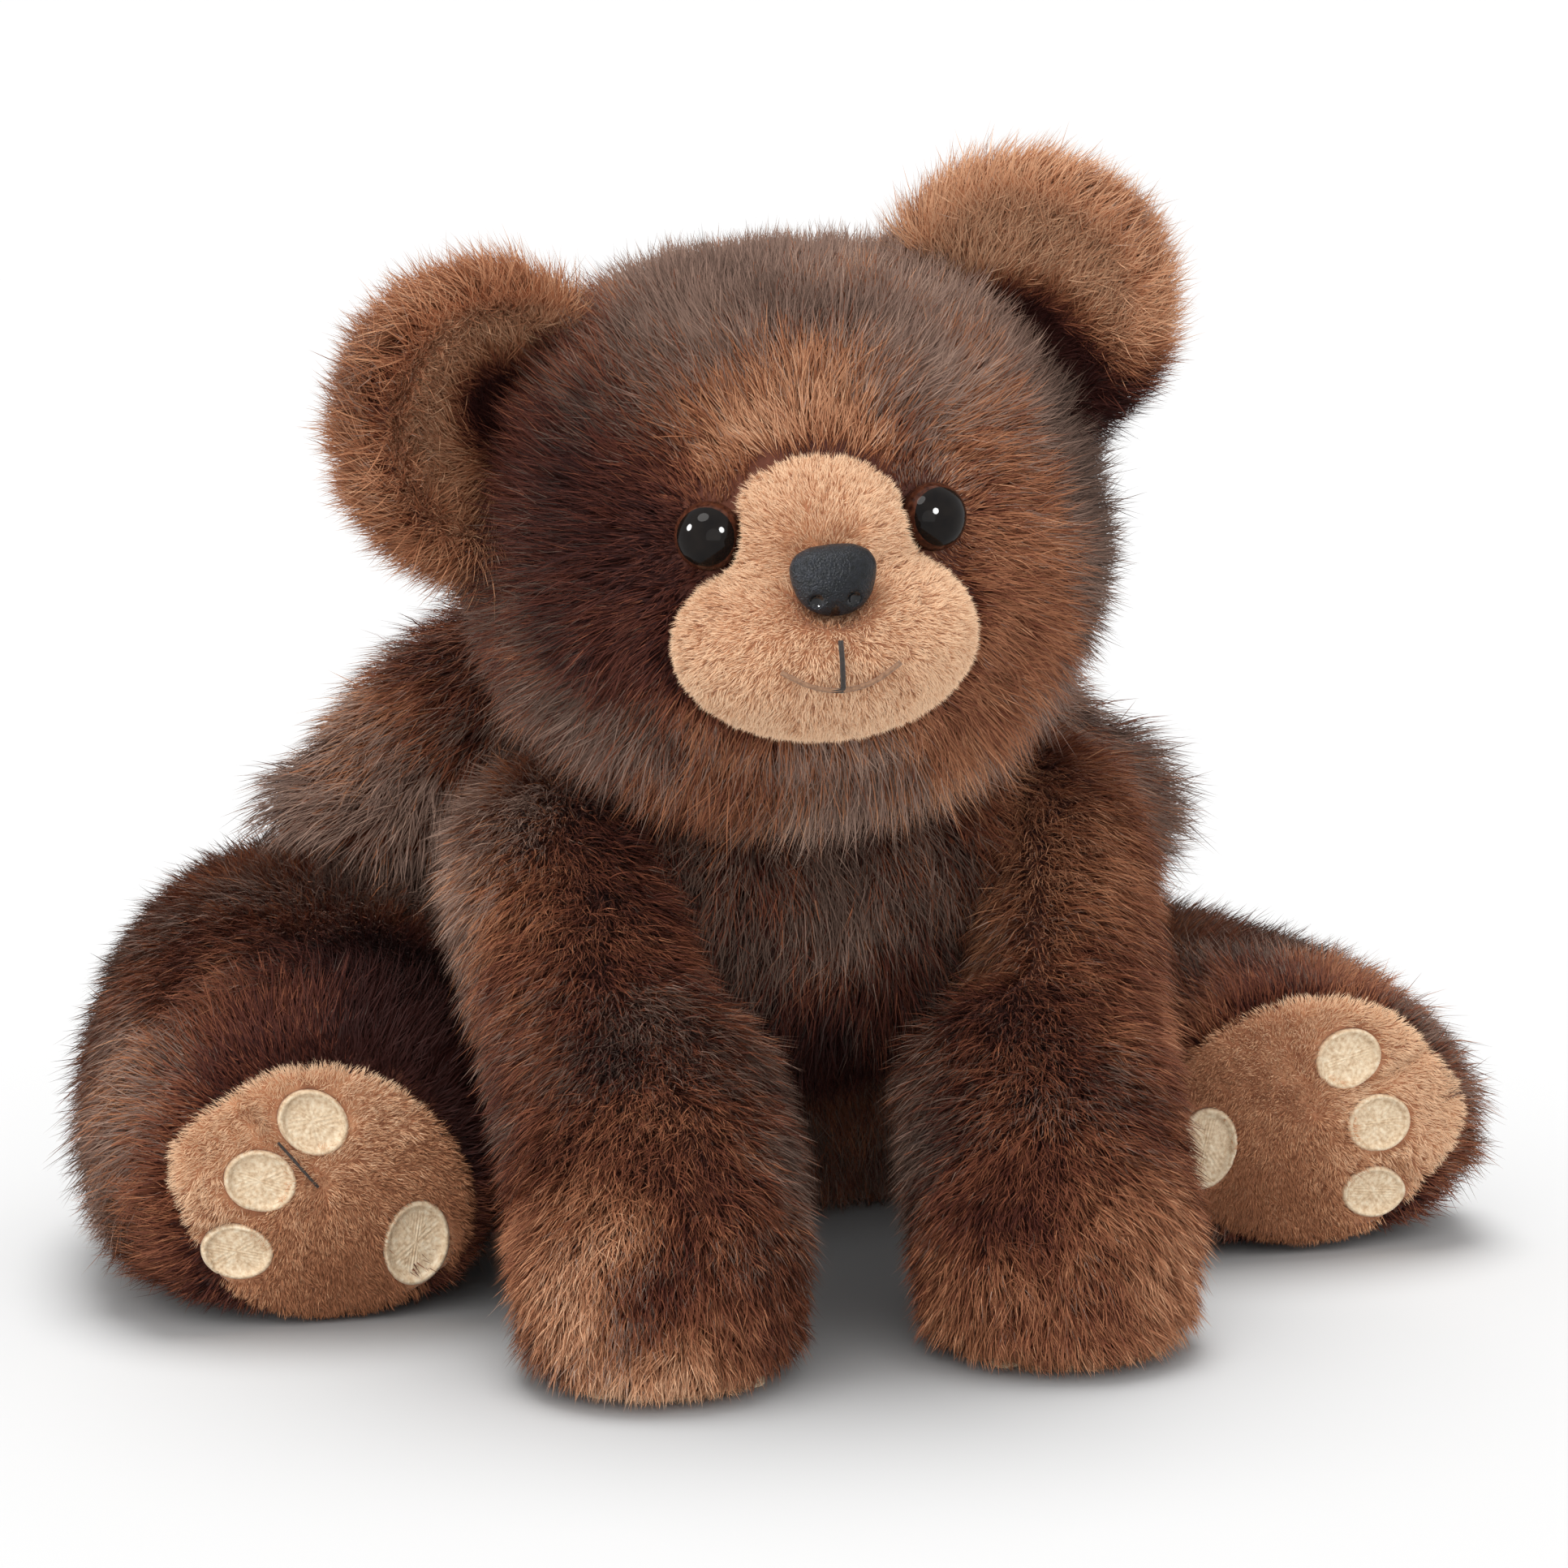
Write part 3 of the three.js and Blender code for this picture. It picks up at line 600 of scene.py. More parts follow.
def strand_curves(rng, skin, fields, pile, steps):
    """Curved centre lines: an array of strands by points by 3, with their roots' normals."""
    face, weights = scatter(rng, skin, fields["density"])
    wanted = (skin["points"], skin["normals"], fields["comb"], fields["length"], fields["lean"])
    roots, normal, comb, length, lean = (at_roots(field, skin, face, weights) for field in wanted)
    normal = unit(normal)
    comb = in_plane(comb, normal)
    spacing = pile.get("clump", CLUMP_SPACING)
    clumps = max(1, int(len(roots) / (spacing * spacing * pile["density"])))
    group, centres = clump_of(rng, roots, clumps)
    clump_turn = rng.normal(0, pile.get("clump_turn", CLUMP_TURN), clumps)[group]
    clump_lean = rng.normal(0, CLUMP_LEAN, clumps)[group]
    clump_length = rng.normal(1, 0.06, clumps)[group]
    comb = turn_in_plane(comb, normal, clump_turn + rng.normal(0, STRAND_TURN, len(roots)))
    length = length * clump_length * np.clip(rng.normal(0.95, 0.17, len(roots)), 0.45, 1.3)
    wobble = clump_lean + rng.normal(0, STRAND_LEAN, len(roots))
    start = np.radians(pile["root_angle"]) * lean + wobble
    end = np.radians(pile["tip_angle"]) * lean + wobble
    curve = [roots]
    for k in range(steps):
        angle = start + (end - start) * (k + 0.5) / steps
        step = normal * np.sin(angle)[:, None] + comb * np.cos(angle)[:, None]
        curve.append(curve[-1] + step * (length / steps)[:, None])
    curve = np.stack(curve, 1)
    offset = roots - centres[group]
    offset -= normal * (offset * normal).sum(1, keepdims=True)
    reach = (np.linspace(0, 1, steps + 1) ** 1.4)[None, :, None]
    curve -= offset[:, None, :] * pile.get("pull", CLUMP_PULL) * reach
    return curve, normal, group


def ribbons(rng, curve, normal, width):
    """Points of flat tapered ribbons along the curves: two for each curve point, and one for the tip."""
    count, knots = curve.shape[:2]
    along = unit(np.gradient(curve, axis=1))
    side = unit(np.cross(along, normal[:, None, :]))
    roll = rng.normal(0, 0.55, count)[:, None, None]
    side = side * np.cos(roll) + np.cross(along, side) * np.sin(roll)
    t = np.linspace(0, 1, knots)[:-1]
    taper = (0.85 + 0.55 * t - 0.95 * t * t)[None, :, None]
    half = side[:, :-1] * taper * (width * rng.uniform(0.7, 1.25, count) / 2)[:, None, None]
    body = np.stack((curve[:, :-1] - half, curve[:, :-1] + half), 2).reshape(count, -1, 3)
    return np.concatenate((body, curve[:, -1:]), 1)


def ribbon_faces(count, steps):
    """Loop and polygon arrays of count ribbons of steps segments: quads, then one triangle at the tip."""
    per = 2 * steps + 1
    loops = []
    for k in range(steps - 1):
        a = 2 * k
        loops += [a, a + 1, a + 3, a + 2]
    a = 2 * (steps - 1)
    loops += [a, a + 1, a + 2]
    corners = (np.arange(count)[:, None] * per + np.array(loops)[None, :]).ravel()
    sizes = [4] * (steps - 1) + [3]
    starts = np.concatenate(([0], np.cumsum(sizes)[:-1]))
    starts = (np.arange(count)[:, None] * sum(sizes) + starts[None, :]).ravel()
    return corners, starts


def strand_mesh(name, points, steps, tones, materials):
    """A mesh of ribbons. tones holds a material number for each segment of each strand."""
    count = len(points)
    corners, starts = ribbon_faces(count, steps)
    mesh = bpy.data.meshes.new(name)
    flat = points.reshape(-1, 3)
    mesh.vertices.add(len(flat))
    mesh.vertices.foreach_set("co", (flat * MM).astype(np.float32).ravel())
    mesh.loops.add(len(corners))
    mesh.loops.foreach_set("vertex_index", corners.astype(np.int32))
    mesh.polygons.add(len(starts))
    mesh.polygons.foreach_set("loop_start", starts.astype(np.int32))
    mesh.update(calc_edges=True)
    mesh.polygons.foreach_set("use_smooth", np.ones(len(starts), bool))
    for material in materials:
        mesh.materials.append(material)
    mesh.polygons.foreach_set("material_index", tones.astype(np.int32).ravel())
    mesh.update()
    return add_object(name, mesh)


def press_on_floor(rng, points):
    """Pile under the bear lies flat on the floor."""
    low = FLOOR_CLEAR + rng.random(points.shape[0])[:, None] * FLOOR_PILE
    points[..., 2] = np.maximum(points[..., 2], low)


def add_pile(name, body, rng, skin, fields, pile, steps, tone_of, materials):
    """Grows strands on a skin, in as many pieces as their number needs."""
    curve, normal, group = strand_curves(rng, skin, fields, pile, steps)
    tones = tone_of(rng, curve, group)
    points = ribbons(rng, curve, normal, pile["width"])
    press_on_floor(rng, points)
    pieces = math.ceil(len(points) / STRANDS_PER_PIECE)
    across, height = curve[:, 0, 0], curve[:, 0, 2]
    order = np.argsort(np.arctan2(across - across.mean(), height - height.mean()))
    for i, part in enumerate(np.array_split(order, pieces)):
        part_name = f"{name}_{i + 1}" if pieces > 1 else name
        obj = strand_mesh(part_name, points[part], steps, tones[part], materials)
        finish_piece(obj, body)


# ---- Colour of the long pile ----

MOTTLE = Noise(11)
STREAK = Noise(37)
SWIRL = Noise(23)
LIGHT_PATCHES = Noise(5)
GREY_PATCHES = Noise(6)

# The coat's marks: the place and reach of each as (x, y, height, reach) in millimetres, with x and y from the
# neck's pivot, then how light it is and how grey. A mark past 0 or 1 also pulls on its neighbours.
# Most marks are the coat's own colours; the two noted as painted shade darken it where shade falls.
COAT = {
    "head": (
        ((-16, -46, 245, 32), 0.50, 0.85),  # grey-brown crown
        ((-36, -50, 233, 16), 0.38, 0.80),
        ((10, -50, 240, 28), 0.50, 0.85),
        ((-14, -76, 216, 13), 1.00, 0.10),  # russet fan over the bridge
        ((-33, -73, 206, 9), 0.62, 0.10),
        ((25, -66, 221, 13), 0.74, 0.15),
        ((-52, -38, 226, 20), 0.26, 0.30),  # dark brow on the right
        ((-64, -47, 199, 24), 0.04, 0.25),  # dark cheek
        ((-52, -62, 172, 15), 0.06, 0.10),
        ((-75, -20, 165, 24), 0.30, 0.60),
        ((-45, -35, 136, 20), 0.36, 0.50),
        ((-8, -58, 130, 24), 0.60, 0.62),  # grey-brown chin
        ((-30, -68, 146, 9), 0.50, 0.05),  # russet below the muzzle
        ((20, -70, 148, 9), 0.55, 0.05),
        ((40, -70, 185, 14), 0.60, 0.10),  # russet cheek on the left
        ((45, -60, 160, 14), 0.62, 0.15),
        ((64, -34, 200, 28), 0.26, 1.25),
        ((60, -20, 170, 26), 0.34, 1.15),
        ((0, 60, 190, 60), 0.36, 0.60),
    ),
    "torso": (
        ((2, -45, 62, 24), -0.25, 0.00),  # painted shade between the arms
        ((-98, 46, 128, 20), 0.66, 0.65),
        ((-78, 40, 146, 15), 0.36, 0.20),
        ((-110, 40, 95, 28), 0.46, 0.85),  # grey flank
        ((-25, -43, 112, 20), 0.20, 0.55),  # grey-brown chest
        ((4, -47, 98, 24), 0.38, 0.75),
        ((64, -30, 125, 18), 0.80, 0.12),  # russet shoulder
        ((85, 20, 100, 30), 0.44, 0.75),
        ((0, 90, 90, 80), 0.34, 0.55),
    ),
    "right_arm": (
        ((-88, -25, 110, 16), 0.70, 0.75),
        ((-72, -52, 104, 14), 0.52, 0.15),  # russet upper arm
        ((-52, -50, 105, 14), 0.12, 0.05),
        ((-70, -66, 90, 12), 0.26, 0.00),  # dark band
        ((-82, -62, 72, 15), 0.30, 0.40),
        ((-50, -85, 78, 13), 0.24, 0.50),
        ((-58, -105, 62, 11), 0.44, 0.00),
        ((-85, -97, 46, 13), 0.42, 0.10),
        ((-82, -118, 32, 13), 1.00, 0.10),  # orange-russet paw
        ((-64, -130, 27, 10), -0.05, 0.35),  # dark middle of the paw
        ((-42, -124, 42, 12), 0.24, 0.25),
        ((-45, -130, 24, 12), 0.34, 0.10),
        ((-58, -130, 8, 14), 0.94, 0.12),
    ),
    "left_arm": (
        ((60, -45, 108, 18), 0.50, 0.05),  # dark russet shoulder
        ((40, -60, 95, 16), 0.60, 0.30),
        ((62, -75, 82, 14), 0.46, 0.00),
        ((36, -85, 72, 16), 0.28, 0.30),  # dark middle
        ((62, -98, 62, 12), 0.42, 0.30),
        ((20, -80, 62, 14), 0.30, 0.55),
        ((24, -117, 42, 12), 0.16, 0.00),
        ((50, -115, 48, 11), 0.48, 0.10),
        ((18, -118, 22, 12), 0.54, 0.00),  # orange-russet paw
        ((38, -128, 26, 9), 0.34, 0.30),
        ((58, -124, 22, 14), 0.64, 0.15),
        ((38, -130, 8, 14), 0.58, 0.10),
    ),
    "right_leg": (
        ((-130, 15, 98, 22), 0.34, 0.65),
        ((-120, -15, 94, 16), 0.14, 0.20),
        ((-148, -5, 80, 14), 0.24, 0.00),
        ((-122, -34, 76, 12), 0.38, 0.30),
        ((-98, -25, 70, 22), -0.60, 0.00),  # painted shade, deep red, on the shadowed inner side
        ((-142, -38, 70, 12), 0.34, 0.15),
        ((-166, -2, 62, 18), 0.60, 0.70),  # grey outer side
        ((-168, -20, 35, 18), 0.52, 0.60),
        ((-160, -35, 16, 13), 0.42, 0.05),
        ((-130, -40, 6, 22), 0.20, 0.10),
        ((-128, 60, 50, 50), 0.34, 0.55),
    ),
    "left_leg": (
        ((118, -15, 68, 16), 0.34, 0.45),
        ((144, -18, 68, 14), 0.52, 0.25),
        ((104, -38, 56, 13), 0.34, 0.20),
        ((166, -30, 48, 14), 0.42, 0.60),
        ((170, -35, 24, 14), 0.50, 0.60),
        ((140, -40, 6, 20), 0.24, 0.10),
        ((130, 50, 40, 50), 0.34, 0.55),
    ),
}
# Light and grey of each ear: its band, and its outer edge.
EAR_COAT = {"left": ((0.96, 0.10), (0.74, 0.45)), "right": ((0.80, 0.12), (0.56, 0.60))}
MIDDLING = (0.36, 0.50, 0.04)  # light, grey and weight of the coat far from any named place


def pick(rng, value, count):
    """A tone number from a value from 0 to 1, with random rounding so that tones run together."""
    return np.clip(np.floor(value * (count - 1) + rng.random(len(value))), 0, count - 1).astype(int)


def coat_at(points, places):
    """Light and grey at some points, blended from the places round them and mottled."""
    from_neck = points - NECK * np.array((1, 1, 0))
    weight = np.full(len(points), MIDDLING[2])
    light = weight * MIDDLING[0]
    grey = weight * MIDDLING[1]
    for (x, y, height, reach), place_light, place_grey in places:
        away = lengths(from_neck - np.array((x, y, height)))
        near = np.exp(-((away / reach) ** 2))
        weight += near
        light += near * place_light
        grey += near * place_grey
    light = light / weight + 0.40 * (LIGHT_PATCHES.layered(points, 19.0) - 0.5)
    light += 0.24 * (MOTTLE.sample(points, 7.5) - 0.5)
    grey = grey / weight + 0.80 * (GREY_PATCHES.layered(points, 17.0) - 0.5)
    return light, grey


def fur_tones(coat):
    """Tones for each strand: a russet root, and a tip that is russet or grey as the coat is at the root."""

    def tone_of(rng, curve, group):
        roots = curve[:, 0]
        light, grey = coat(curve)
        light = light + 0.10 * (STREAK.sample(roots, 4.0) - 0.5) + rng.normal(0, 0.05, len(roots))
        grey = grey + rng.normal(0, 0.13, len(roots))
        root = pick(rng, light - 0.16, len(RUSSET))
        warm_tip = pick(rng, light + 0.08, len(RUSSET))
        grey_tip = len(RUSSET) + pick(rng, light + 0.02, len(GREY))
        middle = np.where(grey > 0.62, grey_tip, pick(rng, light, len(RUSSET)))
        tip = np.where(grey > 0.45, grey_tip, warm_tip)
        return np.stack([root, middle, tip], 1)

    return tone_of


# ---- The six stuffed bodies ----

FITTINGS = {
    "torso": ["neck_washer"] + [f"{side}_{joint}_washer" for joint in ("shoulder", "hip") for side in SIDES],
    "head": ["muzzle", "left_ear_back", "right_ear_back", "left_eye", "right_eye", "neck_stem_disc"],
}
for side in SIDES:
    FITTINGS[f"{side}_arm"] = [f"{side}_paw_pad", f"{side}_shoulder_stem_disc"]
    FITTINGS[f"{side}_leg"] = [f"{side}_sole", f"{side}_hip_stem_disc"]


def make_pelt(body):
    """The fabric backing of a body, a little inside its solid except round its fittings."""
    obj = soft_copy(f"{body}_pelt", [f"{body}_skin", f"{body}_stuffing"], PELT_VOXEL, 6)
    points, normals = points_of(obj), normals_of(obj)
    fittings = tree_of_nodes(FITTINGS[body])
    depth = PELT_DEPTH * ramp(distances(fittings, points), 2.0, SKIRT)
    if body == "torso":
        depth *= ramp(from_hips(points), CLEAR_OF_HIP + 4, CLEAR_OF_HIP + 16)
    set_points(obj, points - normals * depth[:, None])
    relax(obj, 2)
    swell(obj, PELT_SWELL)
    shade_smooth(obj)
    return obj


def even_fields(skin, comb, pile):
    """The comb, and the length, lean and density of a pile that is the same all over."""
    count = len(skin["points"])
    return dict(
        comb=comb,
        length=np.full(count, float(pile["length"])),
        lean=np.ones(count),
        density=np.full(count, float(pile["density"])),
    )


def skin_of(obj):
    return dict(points=points_of(obj), normals=normals_of(obj), triangles=triangles_of(obj))


def finish_pelt(obj, body):
    """Gives the backing its thickness and puts it on its body."""
    modifier = obj.modifiers.new("thickness", "SOLIDIFY")
    modifier.thickness = PELT_THICK * MM
    modifier.offset = -1
    apply_modifiers(obj)
    finish_piece(obj, body, [f"{body}_skin"], [BACKING])


def make_wadding(body):
    """The stuffing, a loose mass with the joints' rooms in it, clear of the backing."""
    obj = soft_copy(f"{body}_wadding", [f"{body}_stuffing"], PELT_VOXEL, 4)
    points, normals = points_of(obj), normals_of(obj)
    fluff = 1.2 * (Noise(71).layered(points, 9.0) - 0.5)
    set_points(obj, points - normals * (WADDING_DEPTH + fluff)[:, None])
    shade_smooth(obj)
    finish_piece(obj, body, [f"{body}_stuffing"], [STUFFING])


def free_length(skin, trees, longest):
    """How long a strand may be at each point before it meets another body."""
    allowed = np.full(len(skin["points"]), float(longest))
    for i, (point, normal) in enumerate(zip(skin["points"], skin["normals"])):
        start = Vector(point + normal)
        for tree in trees:
            hit = tree.ray_cast(start, Vector(normal), longest)[3]
            if hit is not None:
                allowed[i] = min(allowed[i], 1.3 * hit + 3.0)  # tips may meet a little
    return allowed


def head_directions(points):
    """The face's pile runs away from the muzzle, and the back of the head's pile runs down."""
    source = middle_of("muzzle") + HEAD_TURN @ np.array((0.0, 18.0, 4.0))
    away = unit(points - source)
    centre = middle_of("head_skin")
    behind = ramp(points[:, 1] - centre[1], 0, 45)[:, None]
    low = ramp(centre[2] - points[:, 2], 10, 50)[:, None]
    down = np.array((0.0, 0.15, -1.0))
    return away + behind * 1.4 * down + low * 1.3 * np.array((0.0, -0.1, -1.0))


def head_lengths(points, longest):
    """The pile is short on the crown, long at the crown's corners and cheeks, and longest in the bib."""
    centre = middle_of("head_skin")
    across = np.abs(points[:, 0] - centre[0])
    high = ramp(points[:, 2] - centre[2], 35, 60) * (1 - ramp(across, 10, 40))
    cheek = ramp(across, 35, 62)
    bib = ramp(centre[2] - points[:, 2], 22, 50)
    return longest * (1 - 0.25 * high + 0.15 * cheek + 0.5 * bib)


def torso_directions(points):
    """The coat hangs down and spreads outwards over the flanks."""
    centre = middle_of("torso_skin")
    out = points - centre
    out[:, 2] = 0
    return unit(out) * 0.35 + np.array((0.0, 0.0, -1.0))


def limb_directions(points, start, end, spread, fall):
    """Along the limb, out from its middle line, and down."""
    axis = unit(end - start)
    return axis + spread * unit(square_to(points - start, axis)) + np.array((0.0, 0.0, -fall))


def round_fitting(points, directions, centre, axis, inner, outer, strength):
    """Turns directions away from a sole's middle near it."""
    out = points - centre
    near = (1 - ramp(lengths(out), inner, outer))[:, None]
    return unit(directions) * (1 - near) + near * (unit(square_to(out, axis)) + strength * axis)


def from_hips(points):
    """Distance from the line through both hips, for the flanks: points nearer the middle count as far."""
    hip = JOINTS["left_hip_turn"]
    in_middle = np.abs(points[:, 0] - NECK[0]) < 60
    return np.hypot(points[:, 1] - hip[1], points[:, 2] - hip[2]) + 100 * in_middle


FRINGE = {"left": 7, "right": 5}  # how much longer the pile is beside each sole
HUMP = {"left": 8, "right": 2}  # and on top of each leg, by the flank
HUMP_END = 122.0  # how far from the bear's middle the hump goes


def torso_pile(skin, length):
    """Comb and length of the torso's pile: short behind, long over the legs and on the left flank."""
    points = skin["points"]
    comb = torso_directions(points)
    behind = ramp(points[:, 1] - middle_of("torso_skin")[1], 10, 50)
    length = length * (1 - 0.45 * behind)
    length += 5 * (1 - behind) * (1 - ramp(from_hips(points), CLEAR_OF_HIP, CLEAR_OF_HIP + 14))
    across, height = points[:, 0] - NECK[0], points[:, 2]
    flank = ramp(across, 45, 75) * ramp(height, 60, 80) * (1 - ramp(height, 105, 130))
    comb += flank[:, None] * np.array((1.6, -0.3, 0.6))
    return comb, length + 9 * flank


def arm_pile(side, skin, length):
    """Comb and length of an arm's pile: shorter towards the paw."""
    points = skin["points"]
    start, end = middle_of(f"{side}_shoulder_stem_disc"), middle_of(f"{side}_paw_pad")
    comb = limb_directions(points, start, end, 0.12, 0.9)
    return comb, length * (1 - 0.22 * ramp(NECK[2] - 60 - points[:, 2], 0, 60))


def leg_pile(side, skin, length):
    """Comb and length of a leg's pile: short round the sole, a fringe beside it and a hump by the flank."""
    points = skin["points"]
    outer = 1 if side == "left" else -1
    sole, _, half = frame_of(f"{side}_sole")
    comb = limb_directions(points, middle_of(f"{side}_hip_stem_disc"), sole, 0.35, 0.25)
    comb = round_fitting(points, comb, sole, np.array((0.0, -1.0, 0.0)), half[0] + 2, half[0] + 22, -0.25)
    beside = distances(tree_of_nodes([f"{side}_sole"]), points)
    length = length * (0.5 + 0.5 * ramp(beside, 1, 18))
    past_sole = ramp(outer * (points[:, 0] - sole[0]), 0.5 * half[0], half[0] + 4)
    fringe = past_sole * (1 - ramp(points[:, 2], 35, 75))
    length += FRINGE[side] * fringe
    hump = ramp(outer * (NECK[0] - points[:, 0]) + HUMP_END, 0, 22) * ramp(points[:, 2], 50, 68)
    length += HUMP[side] * hump
    return unit(comb) + fringe[:, None] * np.array((1.3 * outer, -0.3, -0.3)), length


def body_fields(body, skin, pile, trees):
    """Comb, length, lean and density at each point of a body's backing."""
    points, normals = skin["points"], skin["normals"]
    length = np.full(len(points), float(pile["length"]))
    if body == "head":
        comb = head_directions(points)
        length = head_lengths(points, length)
    elif body == "torso":
        comb, length = torso_pile(skin, length)
    else:
        side, limb = body.split("_")
        comb, length = (arm_pile if limb == "arm" else leg_pile)(side, skin, length)
    length = np.minimum(length, np.maximum(free_length(skin, trees, LONGEST_REACH), 4.0))
    comb = in_plane(comb, normals)
    comb = turn_in_plane(comb, normals, SWIRL_TURN * (SWIRL.layered(points, SWIRL_SIZE) - 0.5))
    under = ramp(points[:, 2], 2.0, 12.0)
    fields = even_fields(skin, comb, pile)
    fields["length"] = length * (0.45 + 0.55 * under)
    fields["density"] *= 0.35 + 0.65 * under
    return fields


def clear_of(fields, skin, nodes, margin):
    """No strands start within the margin of these nodes."""
    fields["density"] *= distances(tree_of_nodes(nodes), skin["points"]) > margin


def eye_frame(side):
    """The foot of an eye's dome on its axis, the axis and the dome's radius."""
    points = points_of(frame["nodes"][f"{side}_eye"])
    washer = middle_of(f"{side}_eye_washer")
    axis = unit(points.mean(0) - washer)
    along = (points - washer) @ axis
    radius = lengths(square_to(points - washer, axis)).max()
    return washer + axis * (along.max() - EYE_RISE), axis, radius


def face_fields(fields, skin):
    """Pile on the face: none under the muzzle, ears or eyes, and short beside the eyes."""
    clear_of(fields, skin, ["muzzle"], 1.0)
    clear_of(fields, skin, [f"{side}_ear_{part}" for part in ("back", "lining") for side in SIDES], 0.8)
    for side in SIDES:
        foot, axis, radius = eye_frame(side)
        out = skin["points"] - foot
        away = lengths(square_to(out, axis)) + 100 * (out @ axis < -20)
        fields["density"] *= away > radius - 0.4
        fields["length"] *= 0.3 + 0.7 * ramp(away, radius, radius + 14)
        near = (1 - ramp(away, radius, radius + 12))[:, None]
        fields["comb"] = unit(fields["comb"]) * (1 - 0.8 * near) + 0.8 * near * unit(out)
    muzzle = distances(tree_of_nodes(["muzzle"]), skin["points"])
    fields["length"] *= 0.55 + 0.45 * ramp(muzzle, 0.0, 16.0)


def make_bodies():
    """Backing, stuffing and long pile of the torso, head, arms and legs."""
    pelts = {body: make_pelt(body) for body in BODIES}
    trees = {body: tree_of(pelt) for body, pelt in pelts.items()}
    for number, body in enumerate(BODIES):
        rng = np.random.default_rng(100 + number)
        kind = body.split("_")[-1]
        pile = PILE[kind]
        skin = skin_of(pelts[body])
        others = [tree for other, tree in trees.items() if other != body]
        fields = body_fields(body, skin, pile, others)
        if body == "head":
            face_fields(fields, skin)
        elif kind != "torso":
            pad = body.replace("_arm", "_paw_pad").replace("_leg", "_sole")
            clear_of(fields, skin, [pad], 1.0)
        tone_of = fur_tones(lambda curve, places=COAT[body]: coat_at(curve[:, 0], places))
        add_pile(f"{body}_fur", body, rng, skin, fields, pile, STRAND_STEPS, tone_of, FUR)
        finish_pelt(pelts[body], body)
        make_wadding(body)


# ---- Ears ----

# Where each ear's cup is darkened, from the ear's middle, and how far it reaches: the cup's dark bottom
# fibres together with painted shade where the cup hollows in by the head.
CUP_DARK_AND_SHADE = {"left": ((-4.0, 0.0, -14.0), 15.0), "right": ((9.0, 0.0, 2.0), 7.5)}
EAR_LOW = {"left": 0.90, "right": 0.12}  # how much darker each ear is at its foot
CUP_FILL = 7.0  # how much of the cup its pile's backing fills
EAR_REACH = 22.0  # from an ear's middle to where its pile fans out from, towards the head


def from_cup(points, place):
    """Distance from the dark place in an ear's cup, seen along the face's own forward axis."""
    return lengths(square_to(points - place, FACE_FRONT))


def make_ear(side, number):
    """A cup of two layers with long pile all over, darkened only in the bottom of the cup, by the head, with
    dark fibres and painted shade.
    """
    obj = soft_copy(f"{side}_ear", [f"{side}_ear_back", f"{side}_ear_lining"], 1.6, 16)
    shade_smooth(obj)
    skin = skin_of(obj)
    points = skin["points"]
    centre = (points.min(0) + points.max(0)) / 2
    base = centre + unit(middle_of("head_skin") - centre) * EAR_REACH
    from_centre = lengths(points - centre)
    in_cup = ramp(skin["normals"] @ FACE_FRONT, 0.0, 0.5) * (1 - ramp(from_centre, 0, 30) ** 2)
    set_points(obj, points + FACE_FRONT * (CUP_FILL * in_cup)[:, None])
    relax(obj, 4)
    skin = skin_of(obj)
    points = skin["points"]
    offset, cup = CUP_DARK_AND_SHADE[side]
    cup_place = centre + np.array(offset)
    pile = PILE["ear"]
    facing = skin["normals"] @ FACE_FRONT
    # where the cup is darkened by its fibres and painted shade; the pile there is shorter
    in_shaded_cup = (1 - ramp(from_cup(points, cup_place), cup - 5, cup + 7)) * ramp(facing, 0.1, 0.5)
    fields = even_fields(skin, points - base, pile)
    fields["length"] *= 1 - 0.5 * in_shaded_cup
    fields["lean"] *= 0.85 - 0.35 * ramp(facing, 0.2, 0.8)
    clear_of(fields, skin, ["head_skin"], 0.6)
    rng = np.random.default_rng(200 + number)
    band, edge = EAR_COAT[side]

    def coat(curve):
        """Orange-russet, greyer on its edge and behind, and darkened in the cup by the head with dark fibres
        and painted shade.
        """
        roots = curve[:, 0]
        light = band[0] + 0.30 * (LIGHT_PATCHES.layered(roots, 15.0) - 0.5)
        grey = band[1] + 0.55 * (GREY_PATCHES.layered(roots, 13.0) - 0.5)
        outer = ramp(lengths(roots - base), 42, 54)
        light += outer * (edge[0] - band[0])
        grey += outer * (edge[1] - band[1])
        # dark fibres and painted shade in the cup by the head
        dark = 1 - ramp(from_cup(roots, cup_place), cup - 6, cup + 7)
        low = ramp(centre[2] - roots[:, 2], 4, 22)
        light -= EAR_LOW[side] * low
        facing = unit(curve[:, 1] - roots) @ FACE_FRONT
        behind = 1 - ramp(facing, -0.6, 0.0)
        return light - 1.2 * dark * ramp(facing, 0.0, 0.3) - 0.45 * behind, grey + 0.25 * behind

    add_pile(f"{side}_ear_fur", "head", rng, skin, fields, pile, STRAND_STEPS, fur_tones(coat), FUR)
    finish_piece(obj, "head", [f"{side}_ear_back", f"{side}_ear_lining"], [BACKING])


# ---- Short plush: muzzle, soles and paw pads ----

UNDER_PAW = 1.8  # room below a paw's pad for its patches
PAW_DENSITY = 3.0
SOLE_PUFF = 2.2  # how far a sole stands out at its middle
PLUSH = dict(length=2.6, width=0.2, density=7.0, root_angle=68, tip_angle=35)
PLUSH.update(clump=2.0, clump_turn=0.4, pull=0.2)
MUZZLE_NOTCH = middle_of("mouth_thread") * (1, 1, 0) + np.array((0, 8.0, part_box("muzzle")[0][2] / MM + 1.0))


